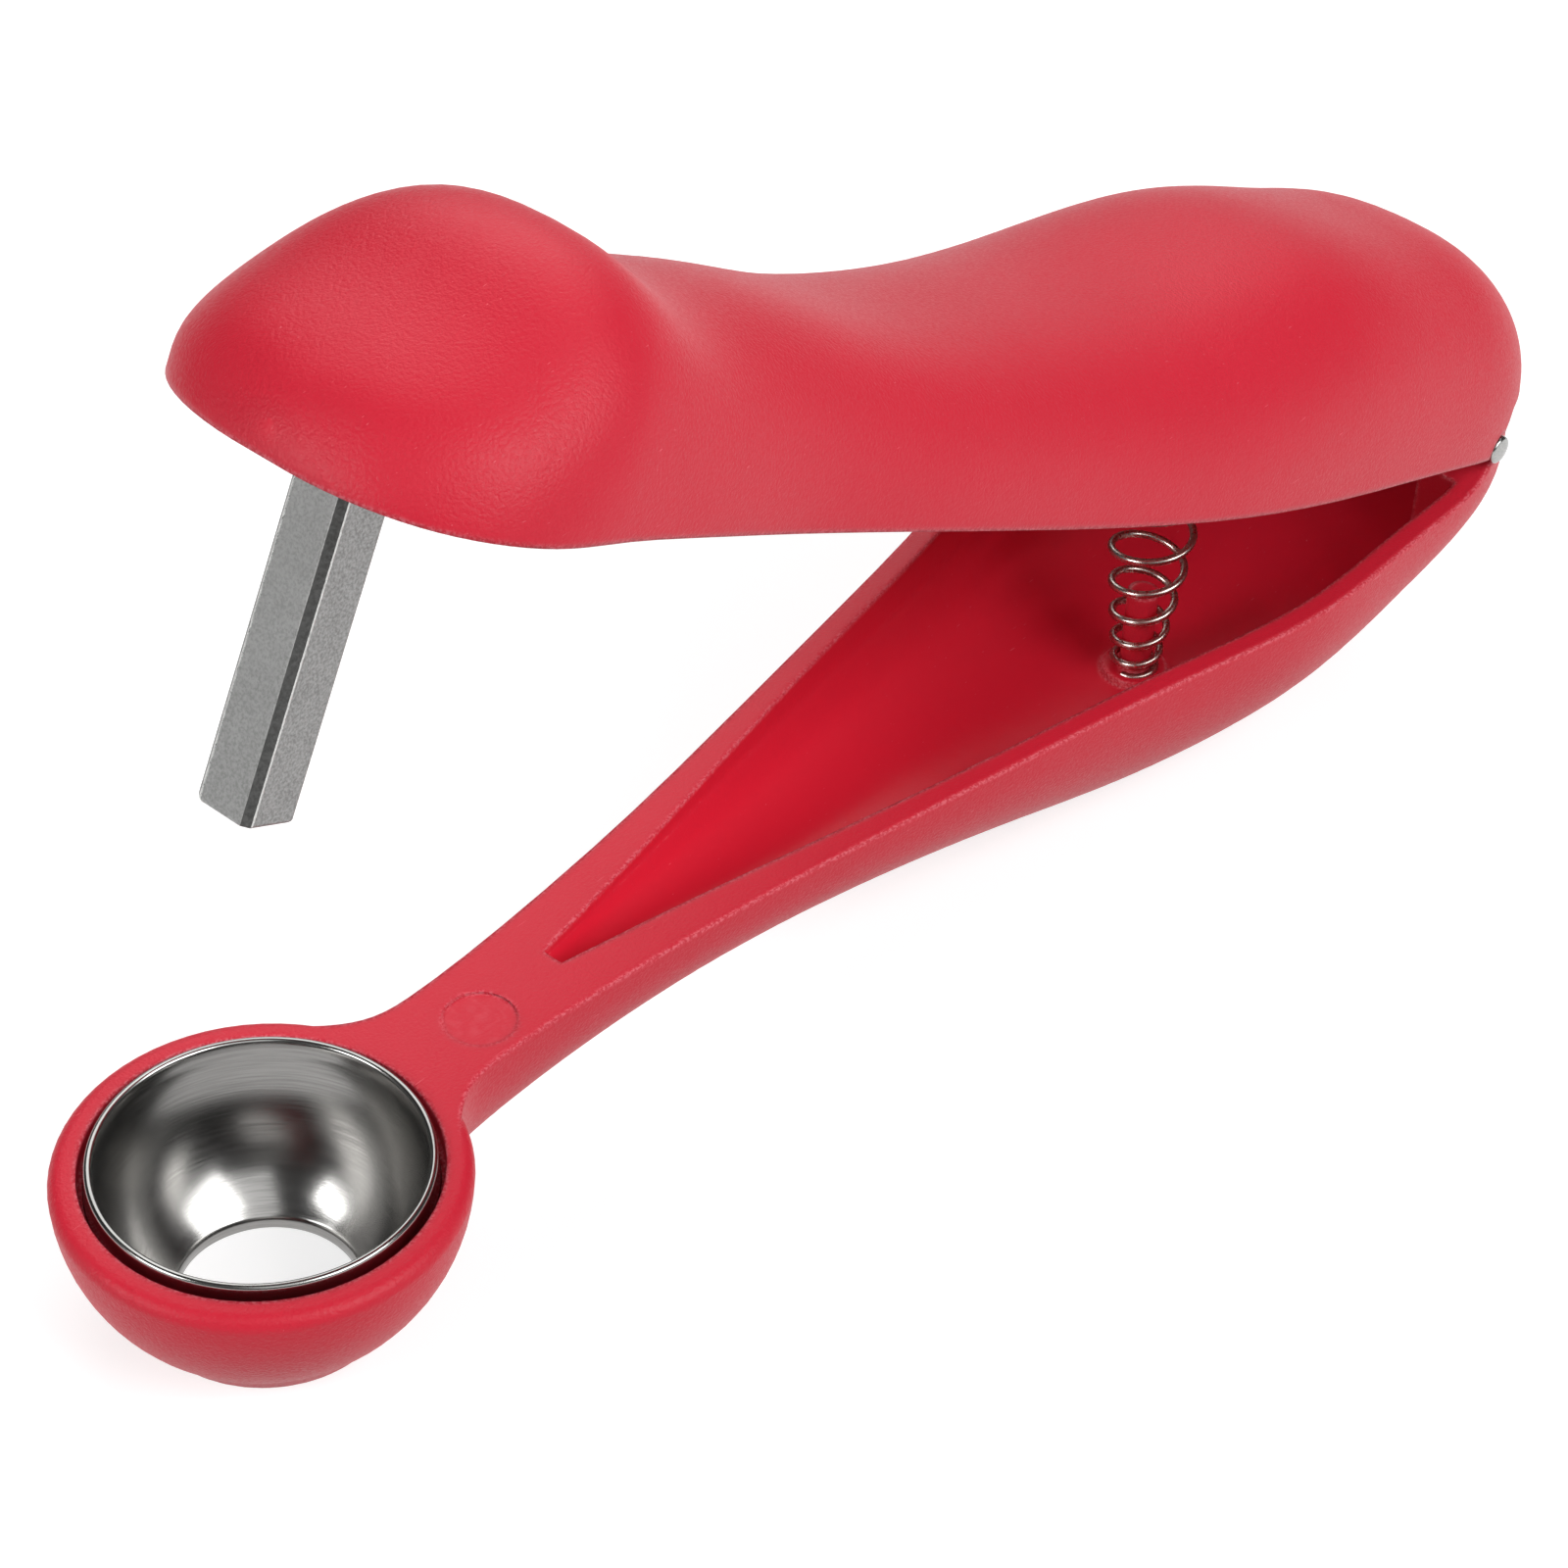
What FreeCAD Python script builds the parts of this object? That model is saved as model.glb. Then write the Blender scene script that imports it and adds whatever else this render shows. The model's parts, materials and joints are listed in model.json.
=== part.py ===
import FreeCAD, Part
import math
import os

# Olive pitter: two sprung moulded levers on a steel pin. The lower lever carries a drawn steel cup with an
# outlet, the upper lever holds a square bar that pushes the stone out through it.
#
# Lever frame used by every sketch: x runs from the hinge axis to the cup axis, y is across the levers, and
# z = 0 is the plane of the lower lever's rim. The upper lever is drawn closed in the same frame and then
# turned up about the hinge. The finished part's origin is the middle of the cup's outlet, +Z up the cup's axis.

os.makedirs("parts", exist_ok=True)
Vector = FreeCAD.Vector
doc = FreeCAD.newDocument("olive_pitter")

# ---------------------------------------------------------------- sizes (mm and degrees)
SIZES = {
    # layout
    "reach": 130.0,               # hinge axis to cup axis
    "hinge_rise": 2.7,            # hinge axis above the rim plane
    "open_angle": 24.8,           # between the rims, levers released
    "running_gap": 0.05,          # pin in the upper lever's lugs
    "press_gap": 0.01,            # pin in the lower lever's lugs
    "seat_gap": 0.05,             # other pieces that seat in the mouldings
    "parting_gap": 0.4,           # between the two rear rims when released
    # upper lever: moulded shell
    "shell_wall": 2.0,
    "shell_round": 2.4,           # exponent of the cross-section's oval
    "shell_straight": 1.0,        # upright band along the rim
    "rear_length": 12.5,          # hinge axis to the rear end
    "rear_fall": 1.3,             # above 1 the rear end slopes off sooner
    "nose_length": 8.5,           # cup axis to the tip of the hood
    "hood_start": 6.0,            # where the hood's plan starts to round, before the cup axis
    "hood_round": 2.5,            # exponent of the hood's plan, squarish above 2
    # lower lever: moulded tray
    "tray_wall": 2.0,
    "tray_round": 2.2,
    "tray_straight": 0.5,
    "back_wall_rise": 5.0,        # raised back wall above the rim plane
    "back_wall_start": 2.6,       # its front end behind the hinge axis
    "back_wall_slope": 8.0,       # over which it sweeps down to the rim
    # drawn cup
    "cup_rim_radius": 12.25,
    "cup_lip_rise": 0.7,
    "cup_lip_round": 0.25,
    "cup_sheet": 0.6,
    "bowl_swell": 0.15,           # the bowl's ball beyond the inside of the lip
    "bowl_drop": 2.45,            # its centre below the rim plane
    "outlet_radius": 6.5,
    "collar_length": 0.9,
    # ring round the cup
    "mouth_gap": 0.55,
    "mouth_depth": 1.6,
    "ring_wall": 2.0,
    "ring_ball_drop": 0.4,        # centre of the ring's outside ball below the rim plane
    "ring_edge_round": 1.0,
    "foot_wall": 1.65,
    "foot_flare": 1.6,            # from the foot out to where it meets the ball
    "foot_stand": 0.2,            # foot below the cup's collar
    # pitting rod and its socket
    "rod_side": 4.9,
    "rod_edge": 0.55,             # flats along the bar's corners
    "rod_chamfer": 0.2,           # round its tip
    "rod_drop": 25.0,             # tip below the rim plane, levers closed
    "socket_wall": 2.0,
    "socket_mouth": -0.5,         # socket's lower end, just below the hood's rim
    "socket_depth": 4.8,
    "rib_thickness": 1.4,
    "rib_rise": 2.2,              # ribs stop this far above the socket's mouth
    # hinge
    "pin_radius": 1.25,
    "pin_half_length": 15.8,
    "pin_chamfer": 0.25,
    "notch_gap": 0.3,
    "lug_radius": 3.3,
    "tray_lug_inner": 11.2,       # inner face of the lower lever's lugs
    "tray_lug_outer": 13.3,
    "shell_lug_thickness": 2.4,
    "lug_gap": 0.3,
    # return spring, its post and its seat
    "spring_place": 27.3,         # hinge axis to the spring's foot
    "wire_radius": 0.3,
    "foot_coil_radius": 1.75,
    "head_coil_radius": 3.4,
    "spring_turns": 9.0,
    "coil_crowding": 1.4,         # 1 gives an even pitch, more crowds the coils at the foot
    "coil_widening": 2.3,         # how fast the coils reach their full width
    "spring_bend": 2.5,           # 1 keeps the released spring straight
    "spring_tilting": 4.0,        # how late the coils take the tilt of the upper lever
    "post_radius": 1.35,
    "post_top": 6.4,              # below the rim plane
    "pad_thickness": 0.6,         # flat pad round the post's foot
    "pad_margin": 0.8,
    "seat_height": 3.0,           # spring seat above the rim plane, levers closed
    "seat_rim": 1.2,
    "seat_recess": 1.0,
    "seat_play": 0.2,             # round the head coil in its recess
    # moulding mark on the neck
    "mark_radius": 2.8,
    "mark_depth": 0.2,
    "mark_place": 20.9,           # before the cup axis
    "mark_side": 0.7,             # off the middle of the neck
}
# Sizes that follow from others.
DERIVED = {
    "bowl_radius": "=cup_rim_radius - cup_sheet + bowl_swell",
    "ring_radius": "=cup_rim_radius + mouth_gap + ring_wall",
    "foot_radius": "=outlet_radius + cup_sheet + seat_gap + foot_wall",
    "bowl_end": "=bowl_drop + sqrt(bowl_radius^2 - outlet_radius^2)",
    "foot_drop": "=bowl_end + collar_length + foot_stand",
    "outlet_drop": "=bowl_end + collar_length / 2",
}
ALIASES = list(SIZES) + list(DERIVED)
sheet = doc.addObject("Spreadsheet::Sheet", "Sizes")
for row, alias in enumerate(ALIASES, start=1):
    sheet.set("A%d" % row, alias)
    sheet.set("B%d" % row, repr(SIZES[alias]) if alias in SIZES else DERIVED[alias])
    sheet.setAlias("B%d" % row, alias)
doc.recompute()


def size(alias):
    """A size as the sheet holds it."""
    return float(sheet.get(alias))


def bind(thing, prop, expression):
    """Ties one property to the sheet. Names in {braces} are aliases."""
    for alias in ALIASES:
        expression = expression.replace("{%s}" % alias, "Sizes." + alias)
    thing.setExpression(prop, expression)


def origin_plane(body, role):
    return [item for item in body.Origin.OriginFeatures if item.Role == role][0]


def sketch_on(body, name, role, offset):
    """A sketch on one of the body's own origin planes. offset holds three expressions: two in the plane,
    one along its normal."""
    sketch = body.newObject("Sketcher::SketchObject", name)
    sketch.AttachmentSupport = (origin_plane(body, role), "")
    sketch.MapMode = "FlatFace"
    for letter, expression in zip("xyz", offset):
        if expression:
            bind(sketch, "AttachmentOffset.Base." + letter, expression)
    return sketch


# ---------------------------------------------------------------- lofted mouldings
OVAL_POINTS = 12


def oval_points(half_width, spring, crown, exponent):
    """Half an oval from (+half_width, spring) over the crown to (-half_width, spring)."""
    points = []
    for step in range(OVAL_POINTS + 1):
        angle = math.pi * step / OVAL_POINTS
        across = math.copysign(abs(math.cos(angle)) ** (2 / exponent), math.cos(angle))
        along = abs(math.sin(angle)) ** (2 / exponent)
        points.append(Vector(half_width * across, spring + (crown - spring) * along, 0))
    return points


def section_sketch(body, name, station):
    """Cross-section of a lever at one station: an oval crown and upright sides that run past the later rim."""
    sketch = sketch_on(body, name, "YZ_Plane", (None, None, "%.6f mm" % station["x"]))
    points = oval_points(station["half_width"], station["spring"], station["crown"], station["round"])
    upright = Vector(0, math.copysign(1, station["crown"] - station["spring"]), 0)
    crown = Part.BSplineCurve()
    crown.interpolate(Points=points, InitialTangent=upright, FinalTangent=-upright)
    left = Vector(-station["half_width"], station["edge"], 0)
    right = Vector(station["half_width"], station["edge"], 0)
    sketch.addGeometry(crown, False)
    sketch.addGeometry(Part.LineSegment(points[-1], left), False)
    sketch.addGeometry(Part.LineSegment(left, right), False)
    sketch.addGeometry(Part.LineSegment(right, points[0]), False)
    return sketch


def trimmed(body, name, outline):
    """Cuts a side profile right through the body, which leaves its rim."""
    sketch = sketch_on(body, name + "_line", "XZ_Plane", (None, None, None))
    for curve in outline:
        sketch.addGeometry(curve, False)
    doc.recompute()
    before = body.Shape.Volume
    pocket = body.newObject("PartDesign::Pocket", name)
    pocket.Profile = sketch
    pocket.Type = "ThroughAll"
    pocket.Midplane = True
    body.Tip = pocket
    doc.recompute()
    if not 0 < body.Shape.Volume < before:
        raise RuntimeError("no cut: " + name)


def line(start, end):
    return Part.LineSegment(Vector(*start, 0), Vector(*end, 0))


def lines(points):
    return [line(start, end) for start, end in zip(points, points[1:])]


def smooth(points, **ends):
    """Smooth curve through points (x, z)."""
    curve = Part.BSplineCurve()
    curve.interpolate(Points=[Vector(x, z, 0) for x, z in points], **ends)
    return curve


def lofted_body(name, stations):
    body = doc.addObject("PartDesign::Body", name)
    sketches = [section_sketch(body, "%s_section_%d" % (name, number), station)
                for number, station in enumerate(stations)]
    doc.recompute()
    loft = body.newObject("PartDesign::AdditiveLoft", name + "_loft")
    loft.Profile = sketches[0]
    loft.Sections = sketches[1:]
    loft.Ruled = False
    body.Tip = loft
    doc.recompute()
    return body


reach = size("reach")
REAR_CUTS = 5                           # sections that round the rear end


def quarter_turn(cuts):
    """Angles at which a rounded end is cut into sections. The last stops just short of the tip."""
    return [math.pi / 2 * step / (cuts + 0.4) for step in range(1, cuts + 1)]


# Stations of the upper lever from hinge to cup. Its waist lies between the palm and the hood.
UPPER_SHARES = (0.07, 0.21, 0.35, 0.485, 0.625, 0.755, 0.855, 0.93, 0.958)
UPPER_HALF_WIDTHS = (17.55, 18.1, 17.65, 15.95, 14.6, 13.35, 14.6, 15.35, 15.7)
UPPER_CROWNS = (17.7, 17.15, 12.6, 10.15, 9.9, 11.6, 13.2, 16.2, 14.75)
UPPER_RIMS = (1.6, 0.2, -1.0, -1.6, -1.4, -1.2, -0.15, 0.4, 0.5)
UPPER_STATIONS = tuple(zip(UPPER_SHARES, UPPER_HALF_WIDTHS, UPPER_CROWNS, UPPER_RIMS))
UPPER_HINGE = (16.1, 17.2, 1.9)         # half width, crown, rim at the hinge axis
HOOD_OVERHANG = 1.1                     # hood's side outside the cup ring
# Crowns of the sections that form the hood's blunt, sloping face, from its top to its tip.
HOOD_CROWNS = (11.3, 8.8, 7.0, 5.6, 4.6, 3.9)
HOOD_RIM = 0.5                          # at the cup axis
NOSE_RIM = 0.2                          # at the tip
LEAST_RISE = 0.3                        # of a section's oval, where the end runs out


def upper_stations(inset, edge):
    """Stations of the upper lever. inset draws the cavity inside the wall, edge is where its sides end."""
    stations = []
    hinge_width, hinge_crown, hinge_rim = UPPER_HINGE

    def add(x, half_width, crown, rim):
        stations.append({
            "x": x,
            "half_width": half_width,
            "crown": crown,
            "spring": min(rim + size("shell_straight"), crown - LEAST_RISE),
            "edge": edge,
            "round": size("shell_round"),
        })

    for turn in reversed(quarter_turn(REAR_CUTS)):
        add(-(size("rear_length") - inset) * math.sin(turn),
            (hinge_width - inset) * math.cos(turn),
            hinge_rim + size("shell_straight") + (hinge_crown - inset - hinge_rim - size("shell_straight"))
            * math.cos(turn) ** size("rear_fall"),
            hinge_rim)
    for share, half_width, crown, rim in UPPER_STATIONS:
        add(share * reach, half_width - inset, crown - inset, rim)
    hood_start = reach - size("hood_start")
    nose_length = size("nose_length")
    hood_length = size("hood_start") + nose_length - inset
    power = 2 / size("hood_round")
    for turn, crown in zip(quarter_turn(len(HOOD_CROWNS)), HOOD_CROWNS):
        place = hood_start + hood_length * math.sin(turn) ** power
        rim = HOOD_RIM + (NOSE_RIM - HOOD_RIM) * max(0, (place - reach) / nose_length)
        add(place, (size("ring_radius") + HOOD_OVERHANG - inset) * math.cos(turn) ** power, crown - inset, rim)
    return stations


# Rear rim of the upper lever: the back wall's top with the parting gap, turned into the closed frame.
open_turn = math.radians(size("open_angle"))


def turned_closed(x, z):
    """A point beside the released upper lever, turned with it to where it lies when the levers are closed."""
    rise = z - size("hinge_rise")
    return (x * math.cos(open_turn) + rise * math.sin(open_turn),
            size("hinge_rise") + rise * math.cos(open_turn) - x * math.sin(open_turn))


WALL_FOOT = 6.0                          # the lofts' sides run this far past z = 0, more than any rim
gap = size("parting_gap")
back_top = size("back_wall_rise") + gap
behind = -1.5 * size("rear_length")
wall_front = -size("back_wall_start")
upper_blank = lofted_body("upper_blank", upper_stations(0, -WALL_FOOT))
upper_core = lofted_body("upper_core", upper_stations(size("shell_wall"), -WALL_FOOT - 1))
rim = [(share * reach, height) for share, half_width, crown, height in UPPER_STATIONS]
nose_length = size("nose_length")
rim = [(0, UPPER_HINGE[2])] + rim + [(reach, HOOD_RIM), (reach + nose_length, NOSE_RIM)]
beyond = (reach + 2 * nose_length, 2 * NOSE_RIM - HOOD_RIM)
rear_rim = [turned_closed(behind, back_top), turned_closed(wall_front, back_top)]
trimmed(upper_blank, "rim", [smooth(rim)] + lines(
    [rim[-1], beyond, (beyond[0], -2 * WALL_FOOT), (rear_rim[0][0], -2 * WALL_FOOT)] + rear_rim + [rim[0]]))

# Stations of the lower lever from hinge to neck.
LOWER_SHARES = (0.09, 0.20, 0.315, 0.43, 0.545, 0.66, 0.775, 0.85)
LOWER_HALF_WIDTHS = (17.15, 17.3, 14.55, 11.75, 9.15, 6.75, 5.1, 4.6)
LOWER_DEPTHS = (15.4, 17.0, 16.5, 13.0, 9.7, 8.0, 8.2, 9.2)
LOWER_STATIONS = tuple(zip(LOWER_SHARES, LOWER_HALF_WIDTHS, LOWER_DEPTHS))
LOWER_HINGE = (15.85, 10.3)             # half width, depth at the hinge axis
# Neck's flare into the ring: distance outside the ring (inside it below 0), half width, depth.
NECK_FLARE = ((0.7, 5.1, 9.6), (-1.8, 6.6, 9.8), (-4.3, 9.0, 9.8))
# The cavity fades out along the neck. Its sections change from oval to a soft V.
FADE_SHARES = (0.545, 0.625, 0.70, 0.775)
FADE_HALF_WIDTHS = (6.9, 4.7, 2.7, 0.9)
FADE_DEPTHS = (8.2, 5.8, 3.6, 1.4)
FADE_ROUNDS = (2.0, 1.8, 1.7, 1.6)


def lower_section(x, half_width, depth, exponent, edge=WALL_FOOT):
    return {
        "x": x,
        "half_width": half_width,
        "crown": -depth,
        "spring": -size("tray_straight"),
        "edge": edge,
        "round": exponent,
    }


def tray_sections(inset, edge):
    """The tray's wide part. inset draws the cavity inside the wall, edge is where its sides end."""
    half_width, depth = LOWER_HINGE
    straight = size("tray_straight")
    exponent = size("tray_round")
    sections = []
    for turn in reversed(quarter_turn(REAR_CUTS)):
        sections.append(lower_section(-(size("rear_length") - inset) * math.sin(turn),
                                      (half_width - inset) * math.cos(turn),
                                      straight + (depth - inset - straight) * math.cos(turn),
                                      exponent, edge))
    for share, half_width, depth in LOWER_STATIONS[:4]:
        sections.append(lower_section(share * reach, half_width - inset, depth - inset, exponent, edge))
    return sections


exponent = size("tray_round")
stations = tray_sections(0, WALL_FOOT)
for share, half_width, depth in LOWER_STATIONS[4:]:
    stations.append(lower_section(share * reach, half_width, depth, exponent))
for outside, half_width, depth in NECK_FLARE:
    stations.append(lower_section(reach - size("ring_radius") - outside, half_width, depth, exponent))
lower_blank = lofted_body("lower_blank", stations)
back_foot = size("back_wall_slope") - size("back_wall_start")
trimmed(lower_blank, "rim_and_back_wall", [
    smooth([(wall_front, size("back_wall_rise")), (back_foot, 0)],
           InitialTangent=Vector(0.2, -1, 0), FinalTangent=Vector(1, 0, 0)),
] + lines([(back_foot, 0), (reach, 0), (reach, 2 * WALL_FOOT), (behind, 2 * WALL_FOOT),
           (behind, size("back_wall_rise")), (wall_front, size("back_wall_rise"))]))

stations = tray_sections(size("tray_wall"), WALL_FOOT + 1)
for share, half_width, depth, exponent in zip(FADE_SHARES, FADE_HALF_WIDTHS, FADE_DEPTHS, FADE_ROUNDS):
    stations.append(lower_section(share * reach, half_width, depth, exponent, WALL_FOOT + 1))
lower_core = lofted_body("lower_core", stations)


# ---------------------------------------------------------------- turned profiles
def arc(centre, radius, start, end):
    """Arc round centre from start to end, the short way, as a curve through a middle point."""
    a = math.atan2(start[1] - centre[1], start[0] - centre[0])
    b = math.atan2(end[1] - centre[1], end[0] - centre[0])
    if b - a > math.pi:
        b -= 2 * math.pi
    if a - b > math.pi:
        a -= 2 * math.pi
    middle = (a + b) / 2
    through = (centre[0] + radius * math.cos(middle), centre[1] + radius * math.sin(middle))
    return Part.Arc(Vector(*start, 0), Vector(*through, 0), Vector(*end, 0))


def turned(body, name, feature, curves):
    """A revolution or groove about the cup axis from a closed profile (radius, height)."""
    sketch = sketch_on(body, name + "_profile", "XZ_Plane", ("{reach}", None, None))
    for curve in curves:
        sketch.addGeometry(curve, False)
    doc.recompute()
    result = body.newObject("PartDesign::" + feature, name)
    result.Profile = sketch
    result.ReferenceAxis = (sketch, ["V_Axis"])
    result.Angle = 360
    body.Tip = result
    doc.recompute()
    return result


def on_ball(radius, ball_radius, drop):
    """Height of the lower half of a ball at a radius from the cup axis."""
    return -drop - math.sqrt(ball_radius ** 2 - radius ** 2)


# Ring with its foot, fused to the neck.
ball = size("ring_radius")
drop = size("ring_ball_drop")
edge = size("ring_edge_round")
blend_radius = size("foot_radius") + size("foot_flare")
blend = (blend_radius, on_ball(blend_radius, ball, drop))
foot = (size("foot_radius"), -size("foot_drop"))
side = math.sqrt(ball ** 2 - (edge - drop) ** 2)
turned(lower_blank, "ring", "Revolution", [
    line((0, 0), (side - edge, 0)),
    arc((side - edge, -edge), edge, (side - edge, 0), (side, -edge)),
    arc((0, -drop), ball, (side, -edge), blend),
    line(blend, foot),
    line(foot, (0, foot[1])),
    line((0, foot[1]), (0, 0)),
])

# Bore that the cup seats in.
bowl = size("bowl_radius")
bowl_drop = size("bowl_drop")
sheet_metal = size("cup_sheet")
seat_ball = bowl + sheet_metal + size("seat_gap")
mouth = size("cup_rim_radius") + size("mouth_gap")
mouth_depth = size("mouth_depth")
seat_top = math.sqrt(seat_ball ** 2 - (mouth_depth - bowl_drop) ** 2)
drain = size("outlet_radius") + sheet_metal + size("seat_gap")
below = -size("foot_drop") - 1
before_bore = lower_blank.Shape.Volume
turned(lower_blank, "cup_seat", "Groove", [
    line((0, 1), (mouth, 1)),
    line((mouth, 1), (mouth, -mouth_depth)),
    line((mouth, -mouth_depth), (seat_top, -mouth_depth)),
    arc((0, -bowl_drop), seat_ball, (seat_top, -mouth_depth), (drain, on_ball(drain, seat_ball, bowl_drop))),
    line((drain, on_ball(drain, seat_ball, bowl_drop)), (drain, below)),
    line((drain, below), (0, below)),
    line((0, below), (0, 1)),
])
if lower_blank.Shape.Volume >= before_bore:
    raise RuntimeError("the cup seat cut nothing")

# Drawn cup: lip, bowl and a collar round the outlet, all of one sheet.
cup_insert = doc.addObject("PartDesign::Body", "cup_insert")
lip_outer = size("cup_rim_radius")
lip_inner = lip_outer - sheet_metal
lip_top = size("cup_lip_rise")
lip_round = size("cup_lip_round")
outlet = size("outlet_radius")
collar_outer = outlet + sheet_metal
outer_ball = bowl + sheet_metal
collar_end = on_ball(outlet, bowl, bowl_drop) - size("collar_length")
inner_lip_foot = -bowl_drop + math.sqrt(bowl ** 2 - lip_inner ** 2)
outer_lip_foot = -bowl_drop + math.sqrt(outer_ball ** 2 - lip_outer ** 2)
turned(cup_insert, "drawn_sheet", "Revolution", [
    line((lip_outer, outer_lip_foot), (lip_outer, lip_top - lip_round)),
    arc((lip_outer - lip_round, lip_top - lip_round), lip_round,
        (lip_outer, lip_top - lip_round), (lip_outer - lip_round, lip_top)),
    line((lip_outer - lip_round, lip_top), (lip_inner + lip_round, lip_top)),
    arc((lip_inner + lip_round, lip_top - lip_round), lip_round,
        (lip_inner + lip_round, lip_top), (lip_inner, lip_top - lip_round)),
    line((lip_inner, lip_top - lip_round), (lip_inner, inner_lip_foot)),
    arc((0, -bowl_drop), bowl, (lip_inner, inner_lip_foot), (outlet, on_ball(outlet, bowl, bowl_drop))),
    line((outlet, on_ball(outlet, bowl, bowl_drop)), (outlet, collar_end)),
    line((outlet, collar_end), (collar_outer, collar_end)),
    line((collar_outer, collar_end), (collar_outer, on_ball(collar_outer, outer_ball, bowl_drop))),
    arc((0, -bowl_drop), outer_ball, (collar_outer, on_ball(collar_outer, outer_ball, bowl_drop)),
        (lip_outer, outer_lip_foot)),
])


# ---------------------------------------------------------------- bosses, lugs and ribs
def cylinder(name, radius, height, place, across=False):
    """A cylinder standing on place, or lying along -Y from it. All arguments are expressions."""
    part = doc.addObject("Part::Cylinder", name)
    if across:
        part.Placement = FreeCAD.Placement(Vector(), FreeCAD.Rotation(Vector(1, 0, 0), 90))
    bind(part, "Radius", radius)
    bind(part, "Height", height)
    for letter, expression in zip("xyz", place):
        bind(part, "Placement.Base." + letter, expression)
    return part


def box(name, length, width, height, place):
    """A box whose middle in x and y, and whose foot in z, are at place."""
    part = doc.addObject("Part::Box", name)
    bind(part, "Length", length)
    bind(part, "Width", width)
    bind(part, "Height", height)
    bind(part, "Placement.Base.x", "%s - (%s) / 2" % (place[0], length))
    bind(part, "Placement.Base.y", "%s - (%s) / 2" % (place[1], width))
    bind(part, "Placement.Base.z", place[2])
    return part


def fused(name, parts):
    result = doc.addObject("Part::MultiFuse", name)
    result.Shapes = parts
    return result


def cut(name, base, tool):
    result = doc.addObject("Part::Cut", name)
    result.Base = base
    result.Tool = tool
    return result


# Upper lever: solid bosses that stay when the cavity is taken out. They reach up into the crown.
THROUGH = "40"                          # reaches through any wall of either lever
socket_side = "({rod_side} + 2 * {socket_wall})"
socket = box("socket_boss", socket_side, socket_side, THROUGH, ("{reach}", "0", "{socket_mouth}"))
rib_foot = "{socket_mouth} + {rib_rise}"
cross_rib = box("cross_rib", "{rib_thickness}", "2 * {tray_lug_outer}", THROUGH,
                ("{reach} - {hood_start}", "0", rib_foot))
long_rib = box("long_rib", "3 * {rod_side}", "{rib_thickness}", THROUGH,
               ("{reach} - 1.5 * {rod_side}", "0", rib_foot))
seat_boss = cylinder("seat_boss", "{head_coil_radius} + {wire_radius} + {seat_play} + {seat_rim}", THROUGH,
                     ("{spring_place}", "0", "{seat_height}"))
upper_bosses = [socket, cross_rib, long_rib, seat_boss]
shell_lug_outer = "({tray_lug_inner} - {lug_gap})"
for side, name in ((1, "near"), (-1, "far")):
    start = shell_lug_outer if side > 0 else "({shell_lug_thickness} - %s)" % shell_lug_outer
    middle = "%d * (%s - {shell_lug_thickness} / 2)" % (side, shell_lug_outer)
    upper_bosses.append(cylinder("shell_lug_%s" % name, "{lug_radius}", "{shell_lug_thickness}",
                                 ("0", start, "{hinge_rise}"), across=True))
    upper_bosses.append(box("shell_lug_web_%s" % name, "2 * {lug_radius}", "{shell_lug_thickness}", THROUGH,
                            ("0", middle, "{hinge_rise}")))
kept = cut("upper_core_less_bosses", upper_core, fused("upper_bosses", upper_bosses))

# Hollows inside those bosses: the rod's socket, the spring's recess, the pin's bore.
rod_hole_side = "({rod_side} + 2 * {seat_gap})"
rod_hole = box("rod_hole", rod_hole_side, rod_hole_side, "{socket_depth} + {seat_gap}",
               ("{reach}", "0", "{socket_mouth}"))
recess = cut(
    "seat_recess",
    cylinder("recess_disc", "{head_coil_radius} + {wire_radius} + {seat_play}", "{seat_recess}",
             ("{spring_place}", "0", "{seat_height}")),
    cylinder("recess_stub", "{head_coil_radius} - {wire_radius} - {seat_play}", "{seat_recess}",
             ("{spring_place}", "0", "{seat_height}")))
pin_bore = cylinder("pin_bore", "{pin_radius} + {running_gap}", "2 * {tray_lug_inner}",
                    ("0", "{tray_lug_inner}", "{hinge_rise}"), across=True)
# Notch in the side walls, open at the rim, that the pin's ends lie in.
notch_arch = cylinder("notch_arch", "{pin_radius} + {notch_gap}", "4 * {tray_lug_outer}",
                      ("0", "2 * {tray_lug_outer}", "{hinge_rise}"), across=True)
notch_slot = box("notch_slot", "2 * ({pin_radius} + {notch_gap})", "4 * {tray_lug_outer}",
                 "{hinge_rise} + {shell_wall}", ("0", "0", "-{shell_wall}"))
lug_keeper = box("lug_keeper", "4 * {lug_radius}", "2 * {tray_lug_inner}", THROUGH, ("0", "0", "-2 * {lug_radius}"))
notches = cut("notches", fused("notch", [notch_arch, notch_slot]), lug_keeper)

upper_void = fused("upper_void", [kept, rod_hole, recess, pin_bore, notches])
upper_handle = cut("upper_handle", upper_blank, upper_void)

# Lower lever: spring post on its pad, and the lugs that hold the pin.
doc.recompute()


def tray_floor(x):
    """Height of the cavity's floor on the middle plane."""
    probe = Part.LineSegment(Vector(x, 0, 2 * lower_core.Shape.BoundBox.ZMin), Vector(x, 0, 0)).toShape()
    return lower_core.Shape.common(probe).BoundBox.ZMin


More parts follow.
